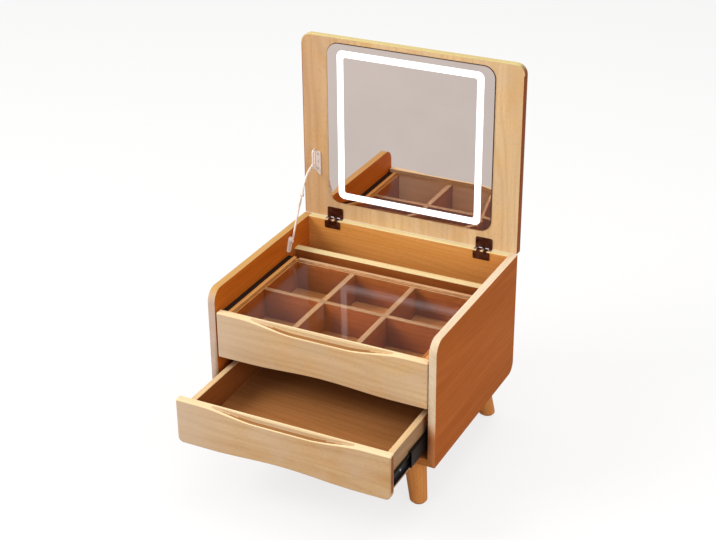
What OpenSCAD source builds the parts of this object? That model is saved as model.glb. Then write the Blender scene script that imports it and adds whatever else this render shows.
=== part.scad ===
// Flip top vanity table: a small beech cabinet on four splayed legs.
// The lid carries a lit mirror and stands open on two hinges and one stay.
// Below it are a glass topped tray drawer with six compartments, a shelf
// behind that, and a plain drawer, here drawn out as in use.
// Sizes are in millimetres. Every piece is set out in the case's own axes:
// x from the middle, y from the front edge of the case, z from its underside.

/* [Case] */
// Width over the side panels
case_w = 480; // [440:1:580]
// Depth from front edge to back face
case_d = 398; // [330:1:480]
// Height of the side panels
case_h = 266.6; // [250:0.1:330]
// Thickness of the case boards and the lid
board = 15; // [14:0.5:18]
// Rounding of the upper front corner of each side
side_front_r = 27; // [10:1:32]
// Rounding of the lower rear corner of each side
side_rear_r = 22; // [10:1:25]

/* [Legs] */
// Height of the underside of the case above the floor
leg_h = 102; // [80:1:140]
// Distance of a leg's top centre from the side of the case
leg_side_inset = 62.6; // [50:0.1:80]
// Distance of a leg's top centre from the front or back of the case
leg_end_inset = 45; // [40:0.5:70]
// Outward lean of a leg, sideways and lengthways, over its height
leg_splay = 19.5; // [0:0.5:30]
// Radius of a leg at the case
leg_top_r = 23.6; // [18:0.1:28]
// Radius of a leg at the floor
leg_foot_r = 16.9; // [12:0.1:22]
// Thickness of the felt pad under each leg
felt_t = 2; // [1:0.5:4]
// Radius of the felt pad
felt_r = 13; // [8:0.5:15]
// Radius of the hanger bolt in each leg
bolt_r = 3.9; // [3:0.1:5]
// Length of the hanger bolt inside the leg
bolt_in_leg = 32; // [20:1:50]
// Length of the hanger bolt inside the bottom board
bolt_in_board = 11; // [8:0.5:12]

/* [Fronts] */
// Thickness of the tray front and the drawer front
front_t = 15; // [14:0.5:18]
// Gap at each end of a front
front_end_gap = 2; // [1:0.5:4]
// Gap below the drawer front
front_low_gap = 5.5; // [3:0.5:8]
// Gap between the two fronts
front_mid_gap = 9; // [5:0.5:12]
// Height left open between the tray front and the top of the case
front_top_gap = 44.1; // [36:0.1:60]
// Height of the drawer front
drawer_front_h = 94.5; // [85:0.5:110]
// Rounding of the drawer front's lower corners
drawer_front_r = 12; // [4:1:16]
// Depth of the finger scoop at the middle of each front
scoop_dip = 13.5; // [8:0.5:18]
// Thickness left behind the scoop
scoop_lip = 3; // [2:0.5:5]
// Straight length of edge at each end of the scoop and the arch
wave_end = 67; // [40:1:90]
// Rise of the arch under each front
arch_rise = 6.5; // [0:0.5:8]

/* [Drawer boxes] */
// Distance that the lower drawer stands open
drawer_out = 156; // [0:1:170]
// Thickness of the lower drawer's walls
drawer_wall = 12; // [10:0.5:13]
// Thickness of the tray's walls
tray_wall = 15; // [12:0.5:16]
// Height from the drawer front's lower edge to the underside of its box
drawer_box_lift = 1.5; // [0:0.5:4]
// Height that the drawer front stands above the walls of its box
drawer_wall_drop = 16; // [14:0.5:22]
// Height from the tray front's lower edge to the underside of its box
tray_box_lift = 15; // [10:0.5:18]
// Height that the tray front stands above the walls of its box
tray_wall_drop = 7.5; // [4:0.5:12]
// Space behind the closed lower drawer
drawer_rear_gap = 18; // [10:1:30]
// Space between the tray and the shelf rail
tray_rear_gap = 26; // [15:1:40]
// Thickness of the panel in the bottom of each box
base_t = 6; // [4:0.5:7]
// Height of the tray's bottom panel above the underside of its box
tray_base_lift = 4; // [3:0.5:6]
// Height of the drawer's bottom panel above the underside of its box
drawer_base_lift = 9; // [8:0.5:11]
// Depth of the groove that holds the bottom panel
groove_deep = 5; // [3:0.5:6]

/* [Tray top] */
// Thickness of the glass pane
glass_t = 4; // [3:0.5:6]
// Width of the ledge that the pane lies on
ledge_w = 7; // [4:0.5:9]
// Gap between the edge of the pane and the wood
glass_gap = 0.5; // [0.3:0.1:1]
// Thickness of the dividers
divider_t = 11; // [8:0.5:14]
// Gap between the dividers and the underside of the pane
divider_gap = 0.3; // [0.2:0.1:1]

/* [Slides] */
// Space beside each box that holds a ball bearing slide
slide_gap = 12.7; // [12.7:0.1:14]
// Height of the outer members
slide_outer_h = 45.2; // [42:0.1:46]
// Height of the middle members
slide_middle_h = 34; // [32:0.1:36]
// Height of the inner members
slide_inner_h = 26; // [24:0.1:28]
// Thickness of the steel of each member
slide_steel = 1.2; // [1:0.1:1.5]
// Height of the lower slides' centre line above the bottom board
drawer_slide_up = 34; // [30:1:40]
// Height of the upper slides' centre line above the underside of the tray
tray_slide_up = 53; // [30:1:53]
// Distance of the slides behind the fronts
slide_set_back = 1.5; // [1:0.5:4]
// Distance of the upper slides' rear ends from the rear of the tray
tray_slide_short = 1; // [0:1:20]
// Radius of the balls between the outer and middle members
ball_outer_r = 1.95; // [1.5:0.05:2]
// Radius of the balls between the middle and inner members
ball_inner_r = 1.2; // [1:0.05:1.25]
// Length of a ball cage
row_len = 90; // [60:1:95]
// Balls in each row
balls = 6; // [3:1:10]

/* [Shelf] */
// Depth of the shelf behind the tray
shelf_d = 48; // [30:1:70]
// Thickness of the shelf
shelf_t = 12; // [9:0.5:18]
// Thickness of the rail in front of the shelf
rail_t = 18; // [12:0.5:22]
// Height of the rail's top below the top of the case
rail_drop = 46.6; // [40:0.1:60]
// Height of the rail
rail_h = 82; // [60:1:95]

/* [Lid] */
// Gap between the open lid and the top of the case
lid_open_gap = 0.6; // [0.5:0.1:6]
// Gap between the closed lid and the top of the case
lid_closed_gap = 1.9; // [1.9:0.1:2.2]
// Overhang of the closed lid over the front of the case
lid_front_over = 7.6; // [0:0.1:12]
// Rounding of the lid's free corners
lid_r = 21; // [8:1:30]
// Rounding of the lid's corners beside the hinges
lid_hinge_r = 3; // [1:0.5:6]

/* [Mirror] */
// Wood left at each side of the mirror
mirror_side = 59; // [45:1:80]
// Wood left between the mirror and the hinges
mirror_low = 36.8; // [30:0.1:50]
// Wood left between the mirror and the lid's free edge
mirror_high = 11.6; // [6:0.1:30]
// Rounding of the mirror's corners
mirror_r = 25; // [8:1:30]
// Thickness of the mirror
mirror_t = 4; // [3:0.5:5]
// Depth that the mirror is let into the lid
mirror_sunk = 2; // [1:0.5:2.5]
// Gap round the mirror
mirror_gap = 0.4; // [0.2:0.1:1]
// Distance from the mirror's sides to the frosted band
band_side = 22.5; // [15:0.5:40]
// Distance from the mirror's lower edge to the frosted band
band_low = 11.2; // [8:0.1:20]
// Distance from the mirror's upper edge to the frosted band
band_high = 13.4; // [8:0.1:20]
// Width of the frosted band
band_w = 14; // [8:0.5:20]
// Rounding of the band's outer corners
band_r = 13; // [8:1:20]
// Depth of the frosting
band_t = 0.6; // [0.4:0.1:1]
// Depth of the recess behind the mirror, from the face of the lid
recess_deep = 8; // [7:0.5:9]
// Width of the ledge that the mirror is glued to
mirror_ledge = 9; // [6:0.5:10]
// Length of the battery pack
battery_len = 110; // [60:1:160]
// Height of the battery pack
battery_h = 58; // [30:1:90]
// Thickness of the battery pack
battery_t = 4.5; // [3:0.5:5]

/* [Hinges] */
// Distance of the hinge axis in front of the back face of the case
axis_in = 6; // [6:0.1:8]
// Distance of the hinge axis below the top of the case
axis_down = 3.6; // [3.6:0.1:5]
// Distance of each hinge from the middle of the case
hinge_x = 168; // [120:1:180]
// Width of a hinge
hinge_w = 36; // [30:1:44]
// Thickness of a leaf
leaf_t = 1.5; // [1.2:0.1:1.5]
// Outer radius of the knuckles
knuckle_r = 5.2; // [4.5:0.1:5.2]
// Radius of the hinge pin
hinge_pin_r = 1.9; // [1.5:0.1:2.4]
// Length of the leaf on the lid, from the axis
lid_leaf = 27; // [22:0.5:30]
// Length of the knuckle fingers of the leaf on the lid, from the axis
lid_finger = 12.5; // [12:0.5:14]
// Length of the leaf down the back panel
case_leaf = 18.6; // [15:0.1:25]
// Gap between neighbouring knuckles
knuckle_gap = 0.3; // [0.2:0.05:0.5]

/* [Stay] */
// Distance of the stay's lower pivot in front of the hinge axis
stay_back = 92; // [80:0.5:100]
// Distance of the stay's lower pivot below the hinge axis
stay_down = 19; // [14:0.5:24]
// Length of the lower arm between its pivots
stay_lower = 98; // [94:0.5:99]
// Length of the upper arm between its pivots
stay_upper = 66; // [64:0.5:68]
// Distance of the upper pin from the hinge axis along the open lid
pin_along = 117; // [115:0.5:119]
// Distance of the upper pin from the face of the open lid
pin_proud = 8.5; // [8:0.1:9]
// Distance of the slot's middle line from the face of the lid
slot_proud = 7.4; // [7:0.1:8]
// Travel of the upper pin along the slot
slot_travel = 29; // [28:0.5:31]
// Half the height of the slot
slot_half = 3.2; // [3:0.1:3.4]
// Thickness of each arm and of the lid bracket's ear
arm_t = 2.5; // [2:0.1:3]
// Gap between neighbouring stay parts
arm_gap = 0.3; // [0.2:0.05:0.4]
// Half the width of the arms
arm_half = 2.4; // [1.5:0.1:2.5]
// Bulge of the upper arm's curve from a straight line
arm_bulge = 10.5; // [8:0.5:14]
// Radius of the eyes at the ends of the arms
eye_r = 4.2; // [3.8:0.1:4.4]
// Reach of the lid bracket's flange above the upper pin
flange_up = 32; // [30:0.5:34]
// Reach of the lid bracket's flange below the upper pin
flange_down = 20; // [14:0.5:22]
// Start of the flange's taper below the upper pin
flange_taper = 8; // [6:0.5:10]
// Width of the flange beside the ear
flange_out = 12; // [11:0.5:14]
// Rounding of the flange's upper end
flange_r = 6; // [4:0.5:6.5]
// Rounding of the flange's lower tip
flange_tip_r = 2.5; // [2:0.5:3]
// Radius of the stay's pins
stay_pin_r = 1.6; // [1.2:0.1:1.8]
// Thickness of the stay's plates on the side panel and the lid
plate_t = 2; // [1.5:0.1:2.5]
// Width of the stay's plate on the side panel
base_w = 17; // [16:0.5:20]
// Reach of that plate above its pivot
base_up = 8.5; // [7.5:0.5:10]
// Reach of that plate below its pivot
base_down = 25; // [24.5:0.5:27]
// Rounding of that plate's corners
base_r = 6; // [2:0.5:7]
// Lean of that plate towards the front, in degrees
base_lean = 20; // [0:1:25]
// Radius of the boss on that plate
boss_r = 6; // [4.5:0.1:6.5]

/* [Fasteners and fits] */
// Radius of the small wood screws
screw_r = 1.6; // [1.2:0.1:2]
// Radius of the small wood screws' heads
screw_head_r = 3.1; // [2.6:0.1:3.4]
// Length of the small wood screws
screw_len = 11; // [8:0.5:12]
// Radius of the wooden dowels
dowel_r = 3; // [2.5:0.1:3.2]
// Depth of a dowel in the piece that it is driven into from the face
dowel_face = 9; // [8:0.5:10]
// Depth of a dowel in the bottom board
base_dowel_deep = 7; // [6:0.5:7]
// Depth of a dowel in the end of the other piece
dowel_end = 18; // [12:1:25]
// Clearance round screws, dowels and bolts
bore_clear = 0.05; // [0.03:0.01:0.1]
// Running clearance of pins
pin_clear = 0.06; // [0.04:0.01:0.1]
// Clearance of panels in grooves and of let-in pieces
fit = 0.1; // [0.05:0.05:0.2]

/* [Hidden] */
$fn = 64;

// Colours
light_wood = "#E0BE8C";
side_wood = "#B4692F";
inner_wood = "#A86A3A";
black_steel = "#1B1B1D";
zinc = "#9A9DA1";
bronze = "#5B4636";
cream = "#EDE0D6";

// Case
half_w = case_w / 2;
in_w = half_w - board;
back_y = case_d - board;

// Fronts
front_half = in_w - front_end_gap;
drawer_front_z = board + front_low_gap;
tray_front_z = drawer_front_z + drawer_front_h + front_mid_gap;
tray_front_h = case_h - front_top_gap - tray_front_z;
wave_half = front_half - wave_end;
wave_steps = 40;
scoop_r = (wave_half * wave_half + scoop_dip * scoop_dip) / (2 * scoop_dip);
scoop_steps = 8;

// Boxes
box_half = in_w - slide_gap;
drawer_z0 = drawer_front_z + drawer_box_lift;
drawer_z1 = drawer_front_z + drawer_front_h - drawer_wall_drop;
drawer_y1 = back_y - drawer_rear_gap;
tray_z0 = tray_front_z + tray_box_lift;
tray_z1 = tray_front_z + tray_front_h - tray_wall_drop;
rail_y0 = back_y - shelf_d - rail_t;
tray_y1 = rail_y0 - tray_rear_gap;
tray_in_half = box_half - tray_wall;
tray_in_y1 = tray_y1 - tray_wall;
drawer_in_half = box_half - drawer_wall;
drawer_in_y1 = drawer_y1 - drawer_wall;
tray_floor = tray_z0 + tray_base_lift + base_t;
divider_z1 = tray_z1 - glass_t - divider_gap;
divider_x = (2 * tray_in_half + divider_t) / 6;
cross_y = (front_t + tray_in_y1) / 2;

// Slides
tray_slide_z = tray_z0 + tray_slide_up;
drawer_slide_z = board + drawer_slide_up;
tray_slide_y1 = tray_y1 - tray_slide_short;
drawer_slide_y1 = drawer_y1;
slide_y0 = front_t + slide_set_back;
outer_open = slide_steel;
middle_open = 0.8;
middle_web = slide_gap - 4.6;
inner_open = 6.1;
ball_outer_z = (slide_outer_h / 2 - slide_steel + slide_middle_h / 2) / 2;
ball_inner_z = (slide_middle_h / 2 - slide_steel + slide_inner_h / 2) / 2;
ball_x = box_half + 3.6;

// Shelf
rail_z1 = case_h - rail_drop;
rail_z0 = rail_z1 - rail_h;

// Lid
axis_y = case_d - axis_in;
axis_z = case_h - axis_down;
lid_off = axis_down + lid_closed_gap;
lid_y0 = axis_y + lid_off;
place_y = (lid_y0 + board - drawer_out) / 2;
lid_z0 = case_h + lid_open_gap;
lid_h = axis_y + lid_front_over - (lid_z0 - axis_z);
lid_z1 = lid_z0 + lid_h;

// Mirror
mirror_half = half_w - mirror_side;
mirror_z0 = lid_z0 + mirror_low;
mirror_h = lid_h - mirror_low - mirror_high;
mirror_y1 = lid_y0 + mirror_sunk;
mirror_y0 = mirror_y1 - mirror_t;
band_half = mirror_half - band_side;
band_z0 = mirror_z0 + band_low;
band_h = mirror_h - band_low - band_high;
recess_y1 = lid_y0 + recess_deep;

// Hinges
knuckle_w = (hinge_w - 4 * knuckle_gap) / 5;
lid_screw_up = lid_leaf - 7;
case_screw_down = case_leaf - 5;
screw_spread = 11;

// Stay, laid out with the lid open
base_pt = [axis_y - stay_back, axis_z - stay_down];
pin_pt = [lid_y0 - pin_proud, axis_z + pin_along];
reach = norm(pin_pt - base_pt);
reach_dir = (pin_pt - base_pt) / reach;
foot_len = (stay_lower * stay_lower - stay_upper * stay_upper + reach * reach) / (2 * reach);
rise_len = sqrt(stay_lower * stay_lower - foot_len * foot_len);
elbow_pt = base_pt + foot_len * reach_dir + rise_len * [-reach_dir[1], reach_dir[0]];
lower_turn = atan2(elbow_pt[1] - base_pt[1], elbow_pt[0] - base_pt[0]);
upper_turn = atan2(pin_pt[1] - elbow_pt[1], pin_pt[0] - elbow_pt[0]);
arm_curve_r = (stay_upper * stay_upper / 4 + arm_bulge * arm_bulge) / (2 * arm_bulge);
lower_x = -in_w + plate_t + 2.8;
upper_x = lower_x + arm_t + arm_gap;
ear_x = upper_x + arm_t + arm_gap;
base_screws = [for (d = [1.7, 9.5]) -(boss_r + screw_head_r + d) * [sin(base_lean), cos(base_lean)]];
flange_screws = [[6.5, -7], [7, 9], [6.5, 25]];

// Moves a piece from the case's own axes to the floor, centred
module place() translate([0, -place_y, leg_h]) children();

// A corner cut for a rounding of radius r, centred on the origin
module corner(r) difference() {
    square(r + 1);
    circle(r);
}

// A rectangle from the origin with its own rounding at each corner,
// in the order lower left, lower right, upper right, upper left
module rounded(w, h, r) difference() {
    square([w, h]);
    if (r[0] > 0) translate([r[0], r[0]]) rotate(180) corner(r[0]);
    if (r[1] > 0) translate([w - r[1], r[1]]) rotate(270) corner(r[1]);
    if (r[2] > 0) translate([w - r[2], h - r[2]]) corner(r[2]);
    if (r[3] > 0) translate([r[3], h - r[3]]) rotate(90) corner(r[3]);
}

// Extrudes a drawing in y and z along x, between two values of x
module along_x(x0, x1) translate([x0, 0, 0]) rotate([90, 0, 90]) linear_extrude(x1 - x0) children();

// Extrudes a drawing in x and z along y, between two values of y
module along_y(y0, y1) translate([0, y1, 0]) rotate([90, 0, 0]) linear_extrude(y1 - y0) children();

// A block between two corners
module block(a, b) translate(a) cube(b - a);

// A pair of copies, on the right and on the left
module both() {
    children();
    mirror([1, 0, 0]) children();
}

// A rod of radius r and length l along x from a point
module rod_x(p, r, l) translate(p) rotate([0, 90, 0]) cylinder(h = l, r = r);

// A countersunk wood screw, its head in the plane z = 0 and its tip below
module wood_screw(c = 0) {
    translate([0, 0, -screw_len - c]) cylinder(h = screw_len + c, r = screw_r + c);
    translate([0, 0, -1.5 - c]) cylinder(h = 1.5 + c, r1 = screw_r + c, r2 = screw_head_r + c);
}

// A low pan head screw, its head standing on the plane z = 0
module pan_screw(c = 0) {
    translate([0, 0, -screw_len - c]) cylinder(h = screw_len + c, r = screw_r + c);
    cylinder(h = 1.4, r = screw_head_r);
}

// ---- case ----

// Outline of the case seen from the side
module case_outline() rounded(case_d, case_h, [0, side_rear_r, 0, side_front_r]);

// Screw places along the outer members of the slides: y, z
tray_outer_screws = [[slide_y0 + 28, tray_slide_z], [cross_y, tray_slide_z],
    [tray_slide_y1 - 25, tray_slide_z]];
drawer_outer_screws = [[slide_y0 + 28, drawer_slide_z], [back_y / 2, drawer_slide_z],
    [drawer_slide_y1 - 25, drawer_slide_z]];
slide_screw_pts = concat(tray_outer_screws, drawer_outer_screws);

// Dowels that join the right side panel to what stands between the sides: y, z
case_dowel_pts = [[back_y + board / 2, board + 40], [back_y + board / 2, case_h / 2 - 20],
    [back_y + board / 2, rail_z1 - 6], [rail_y0 + rail_t / 2, rail_z1 - 16],
    [rail_y0 + rail_t / 2, rail_z0 + 16], [back_y - shelf_d + 12, rail_z0 + shelf_t / 2],
    [back_y - 12, rail_z0 + shelf_t / 2]];
base_dowel_x = [-in_w + 60, 0, in_w - 60];

module case_dowels_at(c = 0) {
    for (p = case_dowel_pts)
        both() rod_x([in_w - dowel_end - c, p[0], p[1]], dowel_r + c, dowel_end + dowel_face + 2 * c);
    for (x = base_dowel_x)
        translate([x, back_y + board / 2 - 2, board - base_dowel_deep - c])
            cylinder(h = dowel_end + base_dowel_deep + 2 * c, r = dowel_r + c);
}

module case_dowels() color(light_wood) case_dowels_at();

// Right hand side panel, mitred to the bottom board
module side_panel() {
    difference() {
        intersection() {
            along_x(in_w, half_w) case_outline();
            along_y(-1, case_d + 1)
                polygon([[in_w, board], [half_w, 0], [half_w, case_h], [in_w, case_h]]);
        }
        case_dowels_at(bore_clear);
        for (p = slide_screw_pts)
            translate([in_w - slide_steel, p[0], p[1]]) rotate([0, -90, 0]) pan_screw(bore_clear);
    }
}

module side_right() color(side_wood) side_panel();

module side_left() color(side_wood) difference() {
    mirror([1, 0, 0]) side_panel();
    stay_screws_at(bore_clear, true);
}

// Direction of the right hand front leg's axis, from the foot to the case
leg_axis = [-leg_splay, leg_splay, leg_h];
leg_len = norm(leg_axis);
leg_tilt = atan2(norm([leg_splay, leg_splay]), leg_h);

// Places children at the top of the right hand front leg with z along its axis
module at_leg() translate([half_w - leg_side_inset, leg_end_inset, 0])
    rotate([0, 0, 135]) rotate([0, leg_tilt, 0]) children();

// Repeats the right hand front leg's children at all four corners
module four() {
    both() children();
    translate([0, case_d, 0]) mirror([0, 1, 0]) both() children();
}

module leg() intersection() {
    difference() {
        at_leg() translate([0, 0, -leg_len - 10])
            cylinder(h = leg_len + 20, r1 = leg_foot_r - leg_slope * 10, r2 = leg_top_r + leg_slope * 10);
        at_leg() translate([0, 0, -bolt_in_leg - bore_clear])
            cylinder(h = bolt_in_leg + 20, r = bolt_r + bore_clear);
    }
    block([half_w - 140, -40, -leg_h + felt_t], [half_w + 40, 160, 0]);
}
leg_slope = (leg_top_r - leg_foot_r) / leg_len;

module leg_front_right() color(side_wood) leg();
module leg_front_left() color(side_wood) mirror([1, 0, 0]) leg();
module leg_rear_right() color(side_wood) translate([0, case_d, 0]) mirror([0, 1, 0]) leg();
module leg_rear_left() color(side_wood)
    translate([0, case_d, 0]) mirror([0, 1, 0]) mirror([1, 0, 0]) leg();

module leg_bolts() color("#8C8F93") four() at_leg()
    translate([0, 0, -bolt_in_leg]) cylinder(h = bolt_in_leg + bolt_in_board, r = bolt_r);

module foot_pads() color("#6B4A2C") four()
    translate([half_w - leg_side_inset + leg_splay, leg_end_inset - leg_splay, -leg_h])
        cylinder(h = felt_t, r = felt_r);

module bottom_board() color(light_wood) difference() {
    intersection() {
        along_x(-half_w, half_w) case_outline();
        along_y(-1, case_d + 1) polygon([[-half_w, 0], [half_w, 0], [in_w, board], [-in_w, board]]);
    }
    four() at_leg() translate([0, 0, -10])
        cylinder(h = bolt_in_board + 10 + bore_clear, r = bolt_r + bore_clear);
    case_dowels_at(bore_clear);
}

// Back panel, notched for the hinge knuckles
module back_panel() color(inner_wood) difference() {
    intersection() {
        along_x(-in_w, in_w) case_outline();
        block([-in_w, back_y, board], [in_w, case_d, case_h]);
    }
    for (x = [-hinge_x, hinge_x])
        block([x - hinge_w / 2 - 0.5, axis_y - knuckle_r - 0.6, axis_z - knuckle_r - 0.6],
            [x + hinge_w / 2 + 0.5, case_d + 1, case_h + 1]);
    case_dowels_at(bore_clear);
    hinge_screws_case_at(bore_clear);
}

module shelf_rail() color(light_wood) difference() {
    block([-in_w, rail_y0, rail_z0], [in_w, rail_y0 + rail_t, rail_z1]);
    case_dowels_at(bore_clear);
}

module shelf_floor() color(light_wood) difference() {
    block([-in_w, rail_y0 + rail_t, rail_z0], [in_w, back_y, rail_z0 + shelf_t]);
    case_dowels_at(bore_clear);
}

// ---- slides ----

// Cross sections of the right hand slide members; x runs from the box to the case
module channel(x_open, x_web, h, t) difference() {
    translate([x_open, -h / 2]) square([x_web - x_open, h]);
    translate([x_open - 1, -h / 2 + t]) square([x_web - x_open - t + 1, h - 2 * t]);
}
module outer_section() channel(outer_open, slide_gap, slide_outer_h, slide_steel);
module middle_section() channel(middle_open, middle_web, slide_middle_h, slide_steel);
module inner_section() mirror([1, 0]) channel(-inner_open, 0, slide_inner_h, slide_steel);

// Slide members that end at y1, at height z
module outer_member(y1, z, pts) difference() {
    along_y(slide_y0 + 0.5, y1) translate([box_half, z]) outer_section();
    for (p = pts) translate([in_w - slide_steel, p[0], p[1]]) rotate([0, -90, 0])
        translate([0, 0, -5]) cylinder(h = 10, r = screw_r + bore_clear);
}
module middle_member(y1, z) along_y(slide_y0 + 1, y1 - 4) translate([box_half, z]) middle_section();
module inner_member(y1, z, pts) difference() {
    along_y(slide_y0, y1) translate([box_half, z]) inner_section();
    for (p = pts) translate([box_half + slide_steel, p[0], p[1]]) rotate([0, 90, 0])
        translate([0, 0, -5]) cylinder(h = 10, r = screw_r + bore_clear);
}

// One row of balls in its cage, with its ends at y0 and y1
module ball_row(y0, y1, z, r) {
    block([ball_x - 1.5, y0, z - 0.5], [ball_x + 1.5, y1, z + 0.5]);
    for (i = [0:balls - 1])
        translate([ball_x, y0 + 6 + i * (y1 - y0 - 12) / (balls - 1), z]) sphere(r);
}
// The four rows of one slide's middle member; the inner rows sit at its front end
module ball_rows(y1, z) {
    for (s = [-1, 1]) {
        ball_row(y1 - 10 - row_len, y1 - 10, z + s * ball_outer_z, ball_outer_r);
        ball_row(slide_y0 + 6, slide_y0 + 6 + row_len, z + s * ball_inner_z, ball_inner_r);
    }
}

// Screws that hold the inner members to the boxes, y measured with the box closed
module inner_screws(pts, c = 0) for (p = pts)
    both() translate([box_half + slide_steel, p[0], p[1]]) rotate([0, 90, 0]) pan_screw(c);

module tray_slide_outer_right() color(black_steel)
    outer_member(tray_slide_y1, tray_slide_z, tray_outer_screws);
module tray_slide_outer_left() color(black_steel) mirror([1, 0, 0])
    outer_member(tray_slide_y1, tray_slide_z, tray_outer_screws);
module drawer_slide_outer_right() color(black_steel)
    outer_member(drawer_slide_y1, drawer_slide_z, drawer_outer_screws);
module drawer_slide_outer_left() color(black_steel) mirror([1, 0, 0])
    outer_member(drawer_slide_y1, drawer_slide_z, drawer_outer_screws);
module slide_screws_case() color(zinc) for (p = slide_screw_pts)
    both() translate([in_w - slide_steel, p[0], p[1]]) rotate([0, -90, 0]) pan_screw();

module tray_slide_middle_right() color(black_steel) middle_member(tray_slide_y1, tray_slide_z);
module tray_slide_middle_left() color(black_steel) mirror([1, 0, 0])
    middle_member(tray_slide_y1, tray_slide_z);
module tray_slide_balls() color("#B9BCC0") both() ball_rows(tray_slide_y1, tray_slide_z);

// The lower drawer's middle members have moved half as far as the drawer
module half_out() translate([0, -drawer_out / 2, 0]) children();
module drawer_slide_middle_right() color(black_steel) half_out()
    middle_member(drawer_slide_y1, drawer_slide_z);
module drawer_slide_middle_left() color(black_steel) half_out() mirror([1, 0, 0])
    middle_member(drawer_slide_y1, drawer_slide_z);
module drawer_slide_balls() color("#B9BCC0") half_out() both() ball_rows(drawer_slide_y1, drawer_slide_z);

// ---- fronts ----

// Face of a front: straight top, arched bottom, lower corners of radius r
module front_face(h, r) difference() {
    polygon(concat([[-front_half, h], [-front_half, 0]],
        [for (i = [0:wave_steps]) let (x = wave_half * (2 * i / wave_steps - 1))
            [x, arch_rise * (1 + cos(180 * x / wave_half)) / 2]],
        [[front_half, 0], [front_half, h]]));
    if (r > 0) {
        translate([front_half - r, r]) rotate(270) corner(r);
        translate([r - front_half, r]) rotate(180) corner(r);
    }
}

// The finger scoop: a wide cove, deepest at the middle of the front's top edge
module scoop(h) translate([0, 0, h + scoop_r - scoop_dip]) rotate([-90, 0, 0])
    rotate_extrude($fn = 180) polygon(concat(
        [[scoop_r - scoop_dip - 8, front_t - scoop_lip], [scoop_r - scoop_dip - 8, -1], [scoop_r, -1]],
        [for (i = [0:scoop_steps]) let (t = 90 * i / scoop_steps)
            [scoop_r - scoop_dip + scoop_dip * cos(t), (front_t - scoop_lip) * sin(t)]]));

// ---- tray ----

module tray_dowels_at(c = 0) {
    for (z = [tray_z0 + 20, tray_z1 - 20]) both() {
        translate([box_half - tray_wall / 2, front_t - dowel_face - c, z]) rotate([-90, 0, 0])
            cylinder(h = dowel_face + dowel_end + 2 * c, r = dowel_r + c);
        rod_x([tray_in_half - dowel_end - c, tray_in_y1 + tray_wall / 2, z - 3], dowel_r + c,
            dowel_face + dowel_end + 2 * c);
    }
}
tray_inner_screws = [[60, tray_slide_z], [tray_slide_y1 - 50, tray_slide_z]];

// The space taken by the bottom panel of a box, larger by c all round
module base_panel(half, y1, z, c = 0)
    block([-half - groove_deep - c, front_t - groove_deep - c, z - c],
        [half + groove_deep + c, y1 + groove_deep + c, z + base_t + c]);
module tray_base_space(c = 0) base_panel(tray_in_half, tray_in_y1, tray_z0 + tray_base_lift, c);

// The space taken by the pane, larger by c at its edges
module pane_space(c = 0, lift = 0) block(
    [-tray_in_half - ledge_w + glass_gap - c, front_t + glass_gap - c, tray_z1 - glass_t],
    [tray_in_half + ledge_w - glass_gap + c, tray_in_y1 + ledge_w - glass_gap + c, tray_z1 + lift]);

module tray_front() color(light_wood) difference() {
    translate([0, 0, tray_front_z]) difference() {
        along_y(0, front_t) front_face(tray_front_h, 0);
        scoop(tray_front_h);
    }
    tray_base_space();
    tray_dowels_at(bore_clear);
}
module tray_side() difference() {
    block([tray_in_half, front_t, tray_z0], [box_half, tray_y1, tray_z1]);
    tray_base_space();
    pane_space(glass_gap, 1);
    tray_dowels_at(bore_clear);
    inner_screws(tray_inner_screws, bore_clear);
}
module tray_side_right() color(light_wood) tray_side();
module tray_side_left() color(light_wood) mirror([1, 0, 0]) tray_side();
module tray_back() color(light_wood) difference() {
    block([-tray_in_half, tray_in_y1, tray_z0], [tray_in_half, tray_y1, tray_z1]);
    tray_base_space();
    pane_space(glass_gap, 1);
    tray_dowels_at(bore_clear);
}
module tray_base() color(inner_wood) tray_base_space(-fit);
// Dividers, halved into each other where they cross
lap_z = (tray_floor + divider_z1) / 2;
module long_divider(x) difference() {
    block([x - divider_t / 2, front_t, tray_floor], [x + divider_t / 2, tray_in_y1, divider_z1]);
    block([x - divider_t, cross_y - divider_t / 2 - fit, lap_z],
        [x + divider_t, cross_y + divider_t / 2 + fit, tray_z1]);
}
module tray_divider_right() color(light_wood) long_divider(divider_x);
module tray_divider_left() color(light_wood) long_divider(-divider_x);
module tray_cross_divider() color(light_wood) difference() {
    block([-tray_in_half, cross_y - divider_t / 2, tray_floor],
        [tray_in_half, cross_y + divider_t / 2, divider_z1]);
    both() block([divider_x - divider_t / 2 - fit, cross_y - divider_t, tray_floor - 1],
        [divider_x + divider_t / 2 + fit, cross_y + divider_t, lap_z]);
}
module tray_slide_inner_right() color(black_steel)
    inner_member(tray_slide_y1, tray_slide_z, tray_inner_screws);
module tray_slide_inner_left() color(black_steel) mirror([1, 0, 0])
    inner_member(tray_slide_y1, tray_slide_z, tray_inner_screws);
module tray_dowels() color(light_wood) tray_dowels_at();
module tray_slide_screws() color(zinc) inner_screws(tray_inner_screws);
module tray_glass() color("#C9B8AC") pane_space();

// ---- lower drawer, laid out closed and then drawn out ----

module out() translate([0, -drawer_out, 0]) children();
module drawer_dowels_at(c = 0) {
    for (z = [drawer_z0 + 22, drawer_z1 - 12]) both() {
        translate([box_half - drawer_wall / 2, front_t - dowel_face - c, z]) rotate([-90, 0, 0])
            cylinder(h = dowel_face + dowel_end + 2 * c, r = dowel_r + c);
        rod_x([drawer_in_half - dowel_end - c, drawer_in_y1 + drawer_wall / 2, z], dowel_r + c,
            dowel_face + dowel_end + 2 * c);
    }
}
drawer_inner_screws = [[60, drawer_slide_z], [drawer_slide_y1 - 60, drawer_slide_z]];
module drawer_base_space(c = 0) base_panel(drawer_in_half, drawer_in_y1, drawer_z0 + drawer_base_lift, c);

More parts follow.
